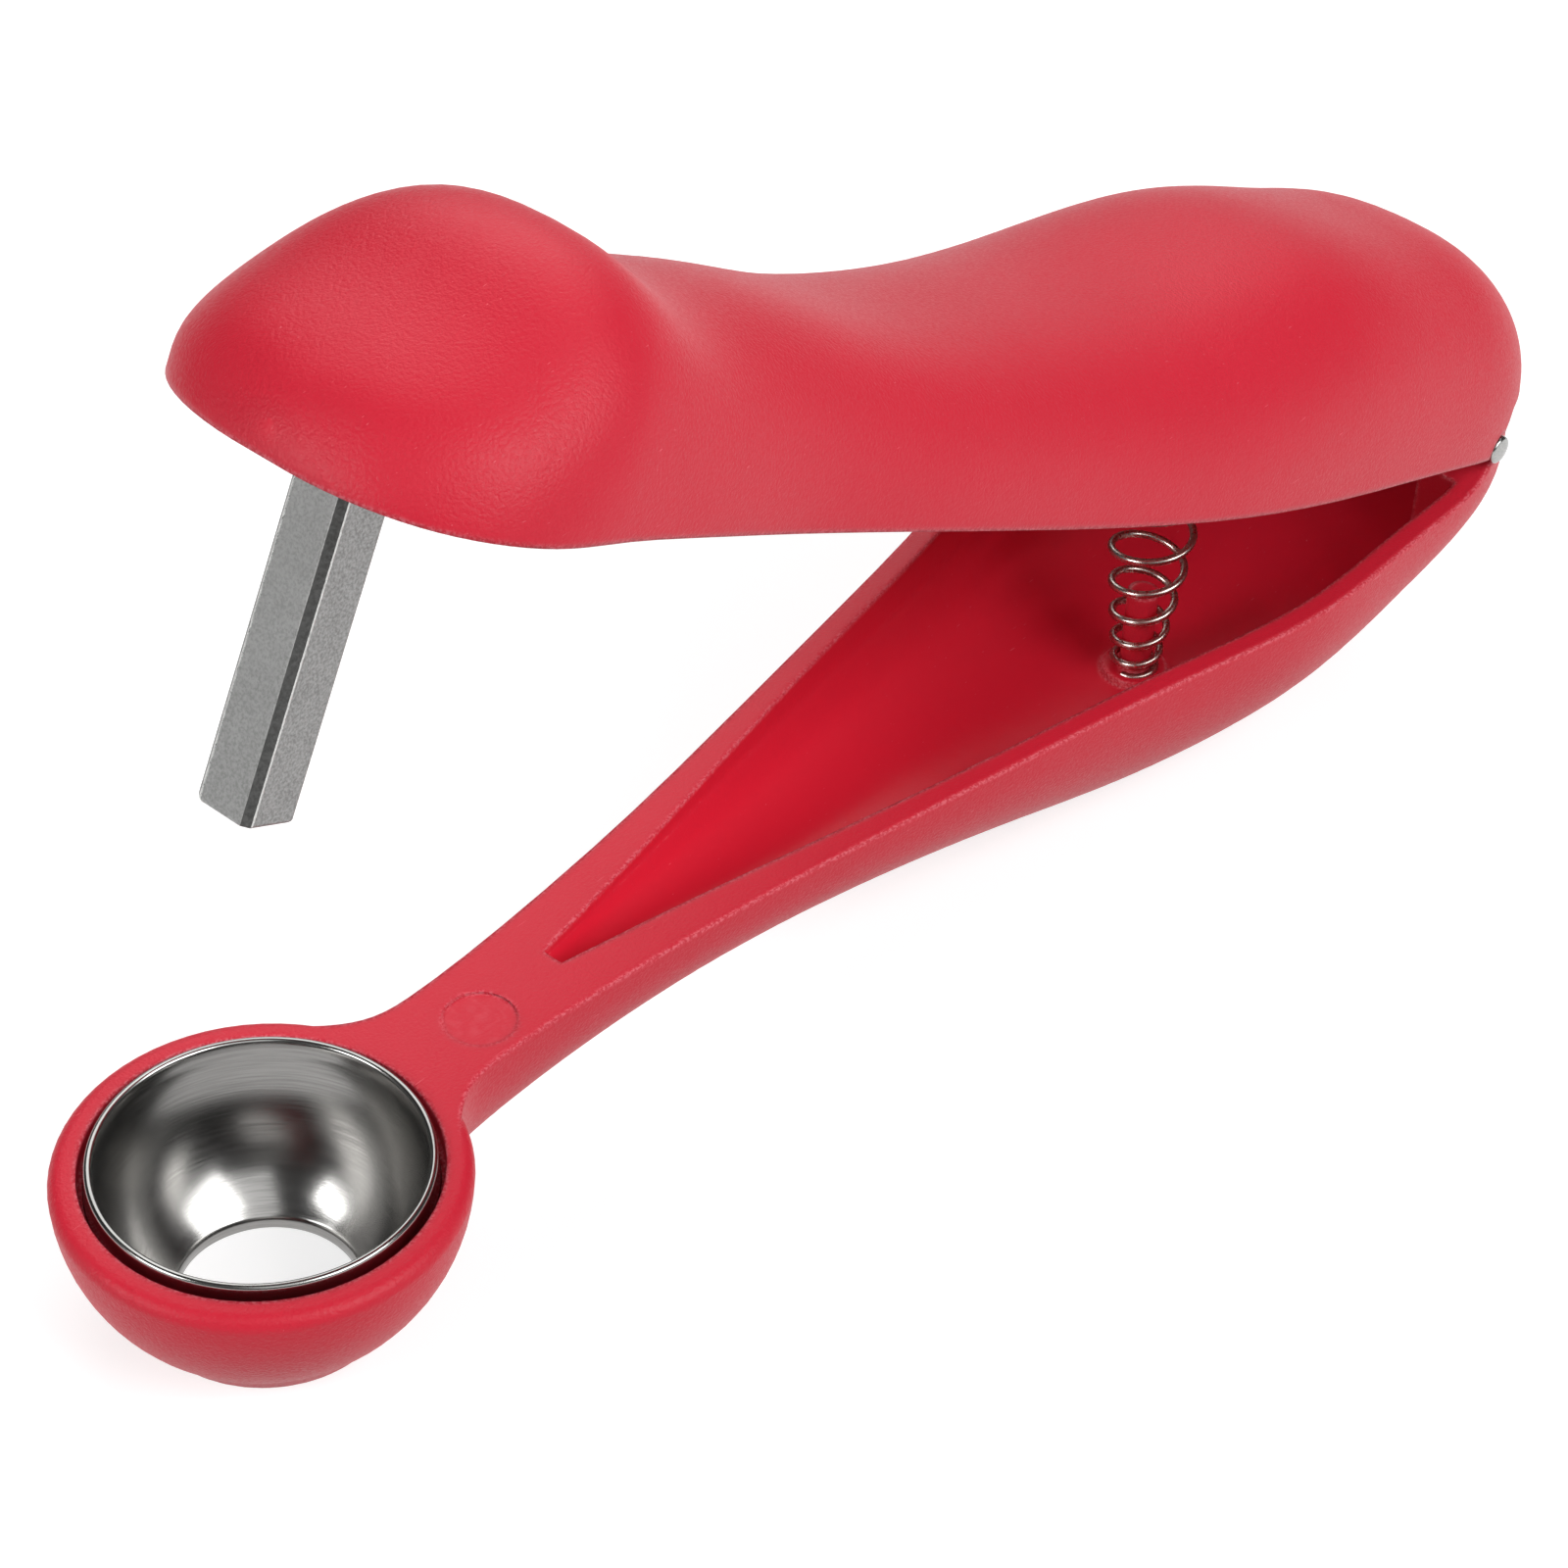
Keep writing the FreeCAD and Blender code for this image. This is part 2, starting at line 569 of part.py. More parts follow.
floor = tray_floor(size("spring_place"))
post = cylinder("spring_post", "{post_radius}", THROUGH, ("{spring_place}", "0", "-{post_top} - " + THROUGH))
pad = cylinder("spring_pad", "{foot_coil_radius} + {wire_radius} + {pad_margin}", THROUGH,
               ("{spring_place}", "0", "%.6f + {pad_thickness} - %s" % (floor, THROUGH)))
lower_bosses = [post, pad]
for side, name in ((1, "near"), (-1, "far")):
    start = "{tray_lug_outer}" if side > 0 else "-{tray_lug_inner}"
    middle = "%d * ({tray_lug_inner} + {tray_lug_outer}) / 2" % side
    thickness = "({tray_lug_outer} - {tray_lug_inner})"
    lower_bosses.append(cylinder("tray_lug_%s" % name, "{lug_radius}", thickness,
                                 ("0", start, "{hinge_rise}"), across=True))
    web_middle = "%d * ({tray_lug_inner} + %s / 2)" % (side, THROUGH)
    lower_bosses.append(box("tray_lug_web_%s" % name, "2 * {lug_radius}", THROUGH, THROUGH,
                            ("0", web_middle, "{hinge_rise} - " + THROUGH)))
lower_kept = cut("lower_core_less_bosses", lower_core, fused("lower_bosses", lower_bosses))
tray = cut("tray", lower_blank, lower_kept)
# The lugs stand above the rim: their upper halves are added to the tray.
lug_tops = [item for item in lower_bosses if item.Name.startswith("tray_lug") and item.TypeId == "Part::Cylinder"]
lug_stems = []
for side, name in ((1, "near"), (-1, "far")):
    middle = "%d * ({tray_lug_inner} + {tray_lug_outer}) / 2" % side
    lug_stems.append(box("lug_stem_%s" % name, "2 * {lug_radius}", "({tray_lug_outer} - {tray_lug_inner})",
                         "{hinge_rise} + {tray_wall}", ("0", middle, "-{tray_wall}")))
tray_with_lugs = fused("tray_with_lugs", [tray] + lug_tops + lug_stems)
tray_notch_arch = cylinder("tray_notch_arch", "{pin_radius} + {press_gap}", "4 * {tray_lug_outer}",
                           ("0", "2 * {tray_lug_outer}", "{hinge_rise}"), across=True)
tray_notch_slot = cut(
    "tray_notch_slot",
    box("tray_notch_box", "2 * ({pin_radius} + {press_gap})", "4 * {tray_lug_outer}", "2 * {back_wall_rise}",
        ("0", "0", "{hinge_rise}")),
    box("tray_lug_keeper", "4 * {lug_radius}", "2 * {tray_lug_outer}", THROUGH, ("0", "0", "0")))
mark = cylinder("ejector_mark", "{mark_radius}", "{tray_wall}", ("{reach} - {mark_place}", "{mark_side}", "-{mark_depth}"))
lower_handle = cut("lower_handle", tray_with_lugs,
                   fused("tray_cuts", [tray_notch_arch, tray_notch_slot, mark]))


# ---------------------------------------------------------------- pin and rod
def end_edges(bar, at_end):
    """Names of a bar's edges that lie wholly at an end, as at_end tells of an edge's box."""
    return ["Edge%d" % number for number, item in enumerate(bar.Shape.Edges, start=1) if at_end(item.BoundBox)]


def chamfered(body, name, edges, width):
    doc.recompute()
    bar = body.Tip
    feature = body.newObject("PartDesign::Chamfer", name)
    feature.Base = (bar, end_edges(bar, edges))
    bind(feature, "Size", width)
    body.Tip = feature


hinge_pin = doc.addObject("PartDesign::Body", "hinge_pin")
pin_sketch = sketch_on(hinge_pin, "pin_section", "XZ_Plane", (None, "{hinge_rise}", None))
pin_sketch.addGeometry(Part.Circle(Vector(), Vector(0, 0, 1), size("pin_radius")), False)
pin_bar = hinge_pin.newObject("PartDesign::Pad", "pin_bar")
pin_bar.Profile = pin_sketch
pin_bar.Midplane = True
bind(pin_bar, "Length", "2 * {pin_half_length}")
hinge_pin.Tip = pin_bar
chamfered(hinge_pin, "pin_ends", lambda box: box.YLength < size("pin_chamfer"), "{pin_chamfer}")

pitting_rod = doc.addObject("PartDesign::Body", "pitting_rod")
rod_sketch = sketch_on(pitting_rod, "rod_section", "XY_Plane", ("{reach}", None, "-{rod_drop}"))
half = size("rod_side") / 2
flat = half - size("rod_edge")
corners = [(half, -flat), (half, flat), (flat, half), (-flat, half),
           (-half, flat), (-half, -flat), (-flat, -half), (flat, -half)]
for start, end in zip(corners, corners[1:] + corners[:1]):
    rod_sketch.addGeometry(line(start, end), False)
rod_bar = pitting_rod.newObject("PartDesign::Pad", "rod_bar")
rod_bar.Profile = rod_sketch
bind(rod_bar, "Length", "{rod_drop} + {socket_mouth} + {socket_depth}")
pitting_rod.Tip = rod_bar
chamfered(pitting_rod, "rod_tip", lambda box: box.ZMax < -size("rod_drop") + size("rod_chamfer"), "{rod_chamfer}")

# ---------------------------------------------------------------- return spring
RING_STEPS = 18                          # points round one turn of the wire's path


def spring_path():
    """Middle line of the wire: from the pad, round and up to the tilted seat of the released upper lever."""
    foot = Vector(size("spring_place"), 0, floor + size("pad_thickness") + size("wire_radius") + size("seat_gap"))
    arm = size("spring_place")
    rise = size("seat_height") + size("seat_recess") - size("wire_radius") - size("seat_gap") - size("hinge_rise")
    head = Vector(arm * math.cos(open_turn) - rise * math.sin(open_turn), 0,
                  size("hinge_rise") + arm * math.sin(open_turn) + rise * math.cos(open_turn))
    points = []
    turns = size("spring_turns")
    for step in range(int(turns * RING_STEPS) + 1):
        share = step / (turns * RING_STEPS)
        climb = share ** size("coil_crowding")
        widening = min(1, climb * size("coil_widening"))
        radius = size("foot_coil_radius") + (size("head_coil_radius") - size("foot_coil_radius")) * widening
        tilt = open_turn * share ** size("spring_tilting")
        angle = 2 * math.pi * turns * share
        along = Vector(math.cos(tilt), 0, math.sin(tilt))
        middle = foot + (head - foot) * climb
        middle.x = foot.x + (head.x - foot.x) * climb ** size("spring_bend")
        points.append(middle + along * (radius * math.cos(angle)) + Vector(0, radius * math.sin(angle), 0))
    return points


points = spring_path()
path = Part.BSplineCurve()
path.interpolate(points)
wire_circle = Part.Circle(points[0], path.tangent(0)[0], size("wire_radius"))
return_spring = doc.addObject("Part::Feature", "return_spring")
swept = Part.Wire(path.toShape()).makePipeShell([Part.Wire(wire_circle.toShape())], True, True)
return_spring.Shape = swept

# ---------------------------------------------------------------- places in the finished part
for piece in (lower_handle, cup_insert, hinge_pin, return_spring):
    shift = {"x": "-{reach}", "z": "{outlet_drop}"}
    for letter, expression in shift.items():
        bind(piece, "Placement.Base." + letter, expression)
for piece in (upper_handle, pitting_rod):
    piece.Placement = FreeCAD.Placement(Vector(), FreeCAD.Rotation(Vector(0, -1, 0), size("open_angle")))
    bind(piece, "Placement.Base.x", "-{reach} + {hinge_rise} * sin({open_angle} * 1 deg)")
    bind(piece, "Placement.Base.z", "{outlet_drop} + {hinge_rise} * (1 - cos({open_angle} * 1 deg))")
doc.recompute()

# ---------------------------------------------------------------- checks and files
pieces = (upper_handle, lower_handle, cup_insert, pitting_rod, return_spring, hinge_pin)
for item in doc.Objects:
    if "Invalid" in item.State or "Error" in item.State:
        raise RuntimeError("failed: " + item.Name)
for piece in pieces:
    piece.Label = piece.Name
    if piece.Shape.isNull() or not piece.Shape.isValid():
        raise RuntimeError("bad shape: " + piece.Label)
    print(piece.Label, len(piece.Shape.Solids), round(piece.Shape.Volume, 1), piece.Shape.BoundBox)
for piece in pieces:
    piece.Shape.exportStep("parts/%s.step" % piece.Label)
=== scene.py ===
# %% [markdown]
# # Olive pitter
# A hand tool of two sprung plastic levers. The lower one ends in a ring that holds a drawn steel cup with a hole
# in its floor. The upper one is a hollow shell with a hood, and a square steel bar under the hood pushes the
# stone of an olive out through the cup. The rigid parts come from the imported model. This script gives them their
# surfaces, mends the upper lever's shell, and makes again the four steel pieces, which need a finer mesh: the cup,
# the bar, the pin and the spring.

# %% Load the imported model
import json
import math

import bmesh
import bpy
from mathutils import Matrix, Vector, noise
from mathutils.kdtree import KDTree


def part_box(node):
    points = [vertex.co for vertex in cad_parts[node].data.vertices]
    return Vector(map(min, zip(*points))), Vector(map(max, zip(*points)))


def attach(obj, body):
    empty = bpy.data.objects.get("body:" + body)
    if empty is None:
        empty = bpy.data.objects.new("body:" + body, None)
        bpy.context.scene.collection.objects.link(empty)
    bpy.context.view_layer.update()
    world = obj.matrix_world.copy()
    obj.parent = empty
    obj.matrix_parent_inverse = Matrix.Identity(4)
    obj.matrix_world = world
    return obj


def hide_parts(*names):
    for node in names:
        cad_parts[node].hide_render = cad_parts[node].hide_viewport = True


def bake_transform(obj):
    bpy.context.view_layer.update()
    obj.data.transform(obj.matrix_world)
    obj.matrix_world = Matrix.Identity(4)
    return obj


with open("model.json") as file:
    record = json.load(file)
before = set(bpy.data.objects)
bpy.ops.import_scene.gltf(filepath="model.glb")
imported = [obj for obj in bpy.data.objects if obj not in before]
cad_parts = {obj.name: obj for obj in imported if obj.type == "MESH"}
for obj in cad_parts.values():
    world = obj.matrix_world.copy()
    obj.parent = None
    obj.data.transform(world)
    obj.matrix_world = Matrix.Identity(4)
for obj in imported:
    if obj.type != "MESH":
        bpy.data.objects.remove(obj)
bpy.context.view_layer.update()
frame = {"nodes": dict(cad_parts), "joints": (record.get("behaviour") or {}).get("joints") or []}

nodes = frame["nodes"]
for name in sorted(nodes):
    low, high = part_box(name)
    print(name, [round(1000 * side, 1) for side in high - low], "mm")

# %% [markdown]
# ## Helpers
# Sizes are written in millimetres, as on a drawing, and turned to Blender's metres by one factor. Colours are
# written as the sRGB hex values that a paint chart gives. Blender's shaders want linear light, so one function
# changes them. One more function adds a node to any tree, for materials and Geometry Nodes alike.
#
# A Mix node lists the sockets of all its data types at once, so they are given here by number. 0 is the factor, or
# 1 where each axis has its own. 2 and 3 are the two numbers, 4 and 5 the vectors, and 6 and 7 the colours. They
# leave by outputs 0, 1 and 2.

# %% Units, colours and nodes
MM = 0.001


def colour(text):
    """Turns an sRGB hex colour into linear RGBA."""
    parts = [int(text[i:i + 2], 16) / 255 for i in (0, 2, 4)]
    return [p / 12.92 if p <= 0.04045 else ((p + 0.055) / 1.055) ** 2.4 for p in parts] + [1.0]


def add_node(tree, kind, inputs=None, **settings):
    """Adds a node. settings are its properties, inputs its sockets: a plain value, or a socket to link from."""
    node = tree.nodes.new(kind)
    for name, value in settings.items():
        setattr(node, name, value)
    for key, value in (inputs or {}).items():
        if isinstance(value, bpy.types.NodeSocket):
            tree.links.new(value, node.inputs[key])
        else:
            node.inputs[key].default_value = value
    return node


def new_material(name):
    """A material with an empty tree. Returns it and its tree."""
    material = bpy.data.materials.new(name)
    material.use_nodes = True
    material.node_tree.nodes.clear()
    return material, material.node_tree


def put_out(tree, shader):
    """Joins a shader to the material's surface."""
    add_node(tree, "ShaderNodeOutputMaterial", {"Surface": shader})


print("the grey 808080 is", round(colour("808080")[0], 3), "in linear light")

# %% [markdown]
# ## Where things are
# Everything hangs on two lines: the hinge's axis across the levers, and the cup's axis, which is Z itself. The
# lower lever's rim is the plane that both levers were drawn from. The upper lever is drawn closed on that plane
# and then turned up about the hinge, so one matrix brings any piece drawn closed to where the frame has it.

# %% Hinge, rim plane and the turn of the upper lever
HINGE = Vector(frame["joints"][0]["pos_m"])
HINGE_RISE = 2.7 * MM                 # hinge axis above the rim plane
OPEN_ANGLE = math.radians(24.8)       # between the levers when released
RIM = HINGE.z - HINGE_RISE
lift = Matrix.Translation(HINGE) @ Matrix.Rotation(-OPEN_ANGLE, 4, "Y") @ Matrix.Translation(-HINGE)
print("hinge at", [round(v / MM, 2) for v in HINGE], "mm, rim plane at", round(RIM / MM, 3), "mm")

# %% [markdown]
# ## Moulded ABS
# Both levers are injection-moulded ABS. Outside, the mould was spark-eroded, which leaves a fine pebble of about
# a quarter of a millimetre that breaks the light up into a soft, slightly pale sheen. Inside, the mould was only
# polished, so the cavity is smoother. Its deeper red, from light that bounces round the cavity, is painted in.

# %% Colours and grain of the plastic
ABS_RED = "CB2337"
ABS_SHADE = "C41F32"                  # slow drift of the pigment
ABS_INSIDE_BOUNCE = "D52036"                 # painted deeper red of the light that bounces round the cavity
ABS_GLINT_AND_WEAR = "E6747F"                 # painted highlight along the edges, and the real scratches and the smear of the ejector
PIGMENT_DRIFT = 14 * MM
PEBBLE, PEBBLE_DEPTH = 0.26 * MM, 0.09 * MM
PEBBLE_OUTSIDE, PEBBLE_INSIDE = 0.75, 0.15    # how much of that depth shows
ROUGH_LOW, ROUGH_HIGH = 0.36, 0.52            # outside, over the pebble
ROUGH_INSIDE = 0.33
ABS_IOR, ABS_SPECULAR = 1.53, 0.25            # half the usual reflection, as a textured skin scatters the rest
NOISE_LOW, NOISE_HIGH = 0.3, 0.7              # most values of a noise texture lie between these
print("ABS red is", [round(part, 3) for part in colour(ABS_RED)[:3]], "in linear light")

# %% [markdown]
# A shader can tell the inside from the outside with no painted mask. Run a line, the spine, along the middle of the
# lever. Inside, the surface faces that line, and outside it faces away from it. So the dot product of the normal
# with the way out from the spine is the mask.

# %% Where the surface faces the spine
FACING_FROM, FACING_FULL = -0.08, -0.3


def facing_spine(tree, texture, point, way):
    """1 where the surface faces the line through the point, and 0 where it faces away."""
    from_point = add_node(tree, "ShaderNodeVectorMath", {0: texture.outputs["Object"], 1: point},
                          operation="SUBTRACT")
    along = add_node(tree, "ShaderNodeVectorMath", {0: from_point.outputs[0], 1: way}, operation="PROJECT")
    out = add_node(tree, "ShaderNodeVectorMath", {0: from_point.outputs[0], 1: along.outputs[0]},
                   operation="SUBTRACT")
    out = add_node(tree, "ShaderNodeVectorMath", {0: out.outputs[0]}, operation="NORMALIZE")
    facing = add_node(tree, "ShaderNodeVectorMath", {0: out.outputs[0], 1: texture.outputs["Normal"]},
                      operation="DOT_PRODUCT")
    return add_node(tree, "ShaderNodeMapRange", {"Value": facing.outputs["Value"], "From Min": FACING_FROM,
                                                 "From Max": FACING_FULL}).outputs[0]


# %% [markdown]
# A moulding never has a sharp edge. The Bevel node rounds the shading of the rims. Where its normal departs from
# the flat one there is an edge, and there a pale line is painted in as a highlight. It is strongest on the peaks
# of the pebble, so the painted highlight is broken up. Life in a drawer adds some fine scratches: a noise that is
# stretched along one way, of which only the highest streaks are kept.

# %% Painted edge highlight, and scratches
EDGE_ROUND = 0.8 * MM
GLINT_FROM, GLINT_FULL, GLINT_MOST = 0.998, 0.90, 0.8       # cosines of the bend, and how pale the painted highlight gets
PEAK_FROM, PEAK_FULL, VALLEY_GLINT = 0.44, 0.60, 0.1    # heights of the pebble, and how much painted highlight its valleys still get
SCRATCH_LENGTH, SCRATCH_WIDTH = 3.0 * MM, 0.12 * MM
SCRATCH_WAY = (0.4, 0.3, 0.7)                         # how the scratches are turned, in radians
SCRATCH_FROM, SCRATCH_FULL, SCRATCH_MOST = 0.84, 0.90, 0.6


def painted_edge_glint(tree, rounded, pebble):
    """How much painted highlight each place gets along the edges, from the rounded normal and the pebble's height."""
    flat = add_node(tree, "ShaderNodeNewGeometry")
    bend = add_node(tree, "ShaderNodeVectorMath", {0: rounded, 1: flat.outputs["Normal"]}, operation="DOT_PRODUCT")
    edge = add_node(tree, "ShaderNodeMapRange", {"Value": bend.outputs["Value"], "From Min": GLINT_FROM,
                                                 "From Max": GLINT_FULL, "To Max": GLINT_MOST})
    peaks = add_node(tree, "ShaderNodeMapRange",
                     {"Value": pebble, "From Min": PEAK_FROM, "From Max": PEAK_FULL, "To Min": VALLEY_GLINT})
    return add_node(tree, "ShaderNodeMath", {0: edge.outputs[0], 1: peaks.outputs[0]},
                    operation="MULTIPLY").outputs[0]


def scratches(tree, place):
    """Few, thin and all one way."""
    laid = add_node(tree, "ShaderNodeMapping",
                    {"Vector": place, "Rotation": SCRATCH_WAY,
                     "Scale": (1 / SCRATCH_LENGTH, 1 / SCRATCH_WIDTH, 1 / SCRATCH_WIDTH)})
    streaks = add_node(tree, "ShaderNodeTexNoise", {"Vector": laid.outputs["Vector"], "Scale": 1.0, "Detail": 0.0})
    return add_node(tree, "ShaderNodeMapRange", {"Value": streaks.outputs["Fac"], "From Min": SCRATCH_FROM,
                                                 "From Max": SCRATCH_FULL, "To Max": SCRATCH_MOST}).outputs[0]


# %% [markdown]
# An ejector pin pushes the lower lever out of its mould while the plastic is still soft. It leaves a round mark, and
# inside it the plastic is smeared a little, which looks like pale folds.

# %% The smear in the ejector's mark
MARK = Vector((-20.9 * MM, 0.7 * MM, RIM))
MARK_RADIUS, MARK_INNER = 2.8 * MM, 2.52 * MM         # the smear fades out between these
SMEAR = 2.4 * MM                                      # width of a fold
SMEAR_FROM, SMEAR_FULL, SMEAR_MOST = 0.46, 0.68, 0.1


def ejector_smear(tree, place, mark):
    """How much each place is smeared. It ends at the mark's edge."""
    away = add_node(tree, "ShaderNodeVectorMath", {0: place, 1: mark}, operation="DISTANCE")
    disc = add_node(tree, "ShaderNodeMapRange",
                    {"Value": away.outputs["Value"], "From Min": MARK_RADIUS, "From Max": MARK_INNER})
    folds = add_node(tree, "ShaderNodeTexNoise",
                     {"Vector": place, "Scale": 1 / SMEAR, "Detail": 2.0, "Distortion": 2.5})
    folds = add_node(tree, "ShaderNodeMapRange", {"Value": folds.outputs["Fac"], "From Min": SMEAR_FROM,
                                                  "From Max": SMEAR_FULL, "To Max": SMEAR_MOST})
    return add_node(tree, "ShaderNodeMath", {0: disc.outputs[0], 1: folds.outputs[0]},
                    operation="MULTIPLY").outputs[0]


# %% [markdown]
# The material puts these together. Its colour is a stack of layers, and each goes over the last by its own mask:
# the drift of the pigment, the painted deeper red inside, and the painted edge highlight with what is scratched or
# smeared.

# %% The plastic's material
def moulded_abs(name, spine_point, spine_way, mark=None):
    """Moulded ABS, pebbled outside and polished inside. The spine is a line along the middle of the lever, and mark
    is the middle of the ejector's mark."""
    material, tree = new_material(name)
    texture = add_node(tree, "ShaderNodeTexCoord")
    place = texture.outputs["Object"]
    inside = facing_spine(tree, texture, spine_point, spine_way)
    pebble = add_node(tree, "ShaderNodeTexNoise",
                      {"Vector": place, "Scale": 1 / PEBBLE, "Detail": 2.5, "Roughness": 0.6}).outputs["Fac"]
    drift = add_node(tree, "ShaderNodeTexNoise",
                     {"Vector": place, "Scale": 1 / PIGMENT_DRIFT, "Detail": 3.0, "Roughness": 0.5}).outputs["Fac"]
    rounded = add_node(tree, "ShaderNodeBevel", {"Radius": EDGE_ROUND}, samples=8).outputs["Normal"]

    # the edges get a painted highlight, and the real scratches and the ejector's smear join it
    glint_and_wear = painted_edge_glint(tree, rounded, pebble)
    others = [scratches(tree, place)]
    if mark:
        others.append(ejector_smear(tree, place, mark))
    for other in others:
        glint_and_wear = add_node(tree, "ShaderNodeMath", {0: glint_and_wear, 1: other}, operation="MAXIMUM").outputs[0]
    tint = colour(ABS_RED)
    # painted layers here: a deeper red inside for bounced light, and a highlight along the edges
    for mask, layer in ((drift, ABS_SHADE), (inside, ABS_INSIDE_BOUNCE), (glint_and_wear, ABS_GLINT_AND_WEAR)):
        tint = add_node(tree, "ShaderNodeMix", {0: mask, 6: tint, 7: colour(layer)}, data_type="RGBA").outputs[2]

    matte = add_node(tree, "ShaderNodeMapRange", {"Value": pebble, "From Min": NOISE_LOW, "From Max": NOISE_HIGH,
                                                  "To Min": ROUGH_LOW, "To Max": ROUGH_HIGH})
    gloss = add_node(tree, "ShaderNodeMix", {0: inside, 2: matte.outputs[0], 3: ROUGH_INSIDE}, data_type="FLOAT")
    depth = add_node(tree, "ShaderNodeMapRange", {"Value": inside, "To Min": PEBBLE_OUTSIDE, "To Max": PEBBLE_INSIDE})
    bump = add_node(tree, "ShaderNodeBump", {"Strength": depth.outputs[0], "Distance": PEBBLE_DEPTH,
                                             "Height": pebble, "Normal": rounded})
    shader = add_node(tree, "ShaderNodeBsdfPrincipled",
                      {"Base Color": tint, "Roughness": gloss.outputs[0], "IOR": ABS_IOR,
                       "Specular IOR Level": ABS_SPECULAR, "Normal": bump.outputs["Normal"]})
    put_out(tree, shader.outputs["BSDF"])
    return material


# %% Each lever has its own spine
SPINE_DROP = 1.0 * MM                 # the lower spine runs this far under the rim plane
upper_way = Vector((math.cos(OPEN_ANGLE), 0, math.sin(OPEN_ANGLE)))
upper_abs = moulded_abs("ABS, injection moulded, upper lever", HINGE, upper_way)
lower_abs = moulded_abs("ABS, injection moulded, lower lever", Vector((HINGE.x, 0, RIM - SPINE_DROP)),
                        Vector((1, 0, 0)), mark=MARK)
lower_mesh = nodes["lower_handle"].data
lower_mesh.materials.clear()
lower_mesh.materials.append(lower_abs)
print("lower_handle is", lower_abs.name, "with", len(lower_mesh.polygons), "triangles")

# %% [markdown]
# ## The upper lever's shell
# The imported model's hood has a thin lip on one side of its nose, and none on the other. The real shell is the same
# on both sides, so it is made from the clean half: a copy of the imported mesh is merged, cut along the middle plane,
# and the half that stays is mirrored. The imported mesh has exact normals, which merging would lose, so every corner
# carries its own normal through the cut and the mirror as an attribute, and gets it back at the end.

# %% A merged copy, with each corner's exact normal
MERGE = 2e-3 * MM
source = nodes["upper_handle"].data.copy()
normals = [0.0] * (3 * len(source.loops))
source.corner_normals.foreach_get("vector", normals)
source.attributes.new("exact", "FLOAT_VECTOR", "CORNER").data.foreach_set("vector", normals)
shell = bmesh.new()
shell.from_mesh(source)
exact = shell.loops.layers.float_vector["exact"]
bmesh.ops.remove_doubles(shell, verts=shell.verts, dist=MERGE)
print(len(source.vertices), "points merged to", len(shell.verts))

# %% Keep the half towards +Y, and mirror it
geometry = shell.verts[:] + shell.edges[:] + shell.faces[:]
bmesh.ops.bisect_plane(shell, geom=geometry, dist=MERGE, plane_co=(0, 0, 0), plane_no=(0, -1, 0), clear_outer=True)
twin = bmesh.ops.duplicate(shell, geom=shell.verts[:] + shell.edges[:] + shell.faces[:])["geom"]
for part in twin:
    if isinstance(part, bmesh.types.BMVert):
        part.co.y *= -1
faces = [part for part in twin if isinstance(part, bmesh.types.BMFace)]
for face in faces:
    for corner in face.loops:
        corner[exact].y *= -1
bmesh.ops.reverse_faces(shell, faces=faces)
seam = [vertex for vertex in shell.verts if abs(vertex.co.y) < MERGE]
bmesh.ops.remove_doubles(shell, verts=seam, dist=MERGE)
shell.verts.index_update()
print("open edges after the mirror:", sum(edge.is_boundary for edge in shell.edges))

# %% [markdown]
# The hood was drawn in steps, and where two of them meet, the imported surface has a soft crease, which the real
# moulding doesn't have. The shape stays, and only the shading is evened out: on the hood's outside, each corner's
# normal becomes the mean of the exact normals within a few millimetres. First the outside has to be told from the
# inside. The way out is the way from the middle of the lever, and round the nose it also points forwards.

# %% The corners on the hood's outside
HOOD_FROM, HOOD_FULL = 88.0, 98.0     # where the mean sets in and is full, in mm from the hinge along the lever
NOSE_FROM = 118.0                     # from here on, outwards is also forwards
OUTWARDS = 0.35                       # least cosine between a normal and the way out
drawn = Matrix.Translation((-HINGE.x, 0, -RIM)) @ lift.inverted()     # back to the lever as drawn, closed
drawn_way = drawn.to_3x3()


def hood_corners(start, lowest):
    """Every corner on the outside, past start and higher than lowest, with its place on the drawing in mm."""
    for face in shell.faces:
        for corner in face.loops:
            at = drawn @ corner.vert.co / MM
            out = Vector((max(at.x - NOSE_FROM, 0), at.y, at.z))
            if at.x >= start and at.z >= lowest and (drawn_way @ corner[exact]).dot(out) >= OUTWARDS * out.length:
                yield corner, at


# %% [markdown]
# A thinned set of points is enough for the mean: one for each small cell of a grid. A KD tree finds those near a
# corner. Near ones weigh most, and close to the rim each corner keeps its own normal.

# %% Collect normals for the mean
EVEN_OVER, THIN = 5.0, 0.8            # reach of the mean, and size of a cell, in mm
SAMPLE_ABOVE = 0.8                    # height over the rim, in mm
samples = {}
for corner, at in hood_corners(HOOD_FROM - EVEN_OVER, SAMPLE_ABOVE):
    samples.setdefault(tuple(round(v / THIN) for v in at), (at, corner[exact].copy()))
samples = list(samples.values())
near = KDTree(len(samples))
for k, (at, way) in enumerate(samples):
    near.insert(at, k)
near.balance()
print(len(samples), "normals on the hood's outside")

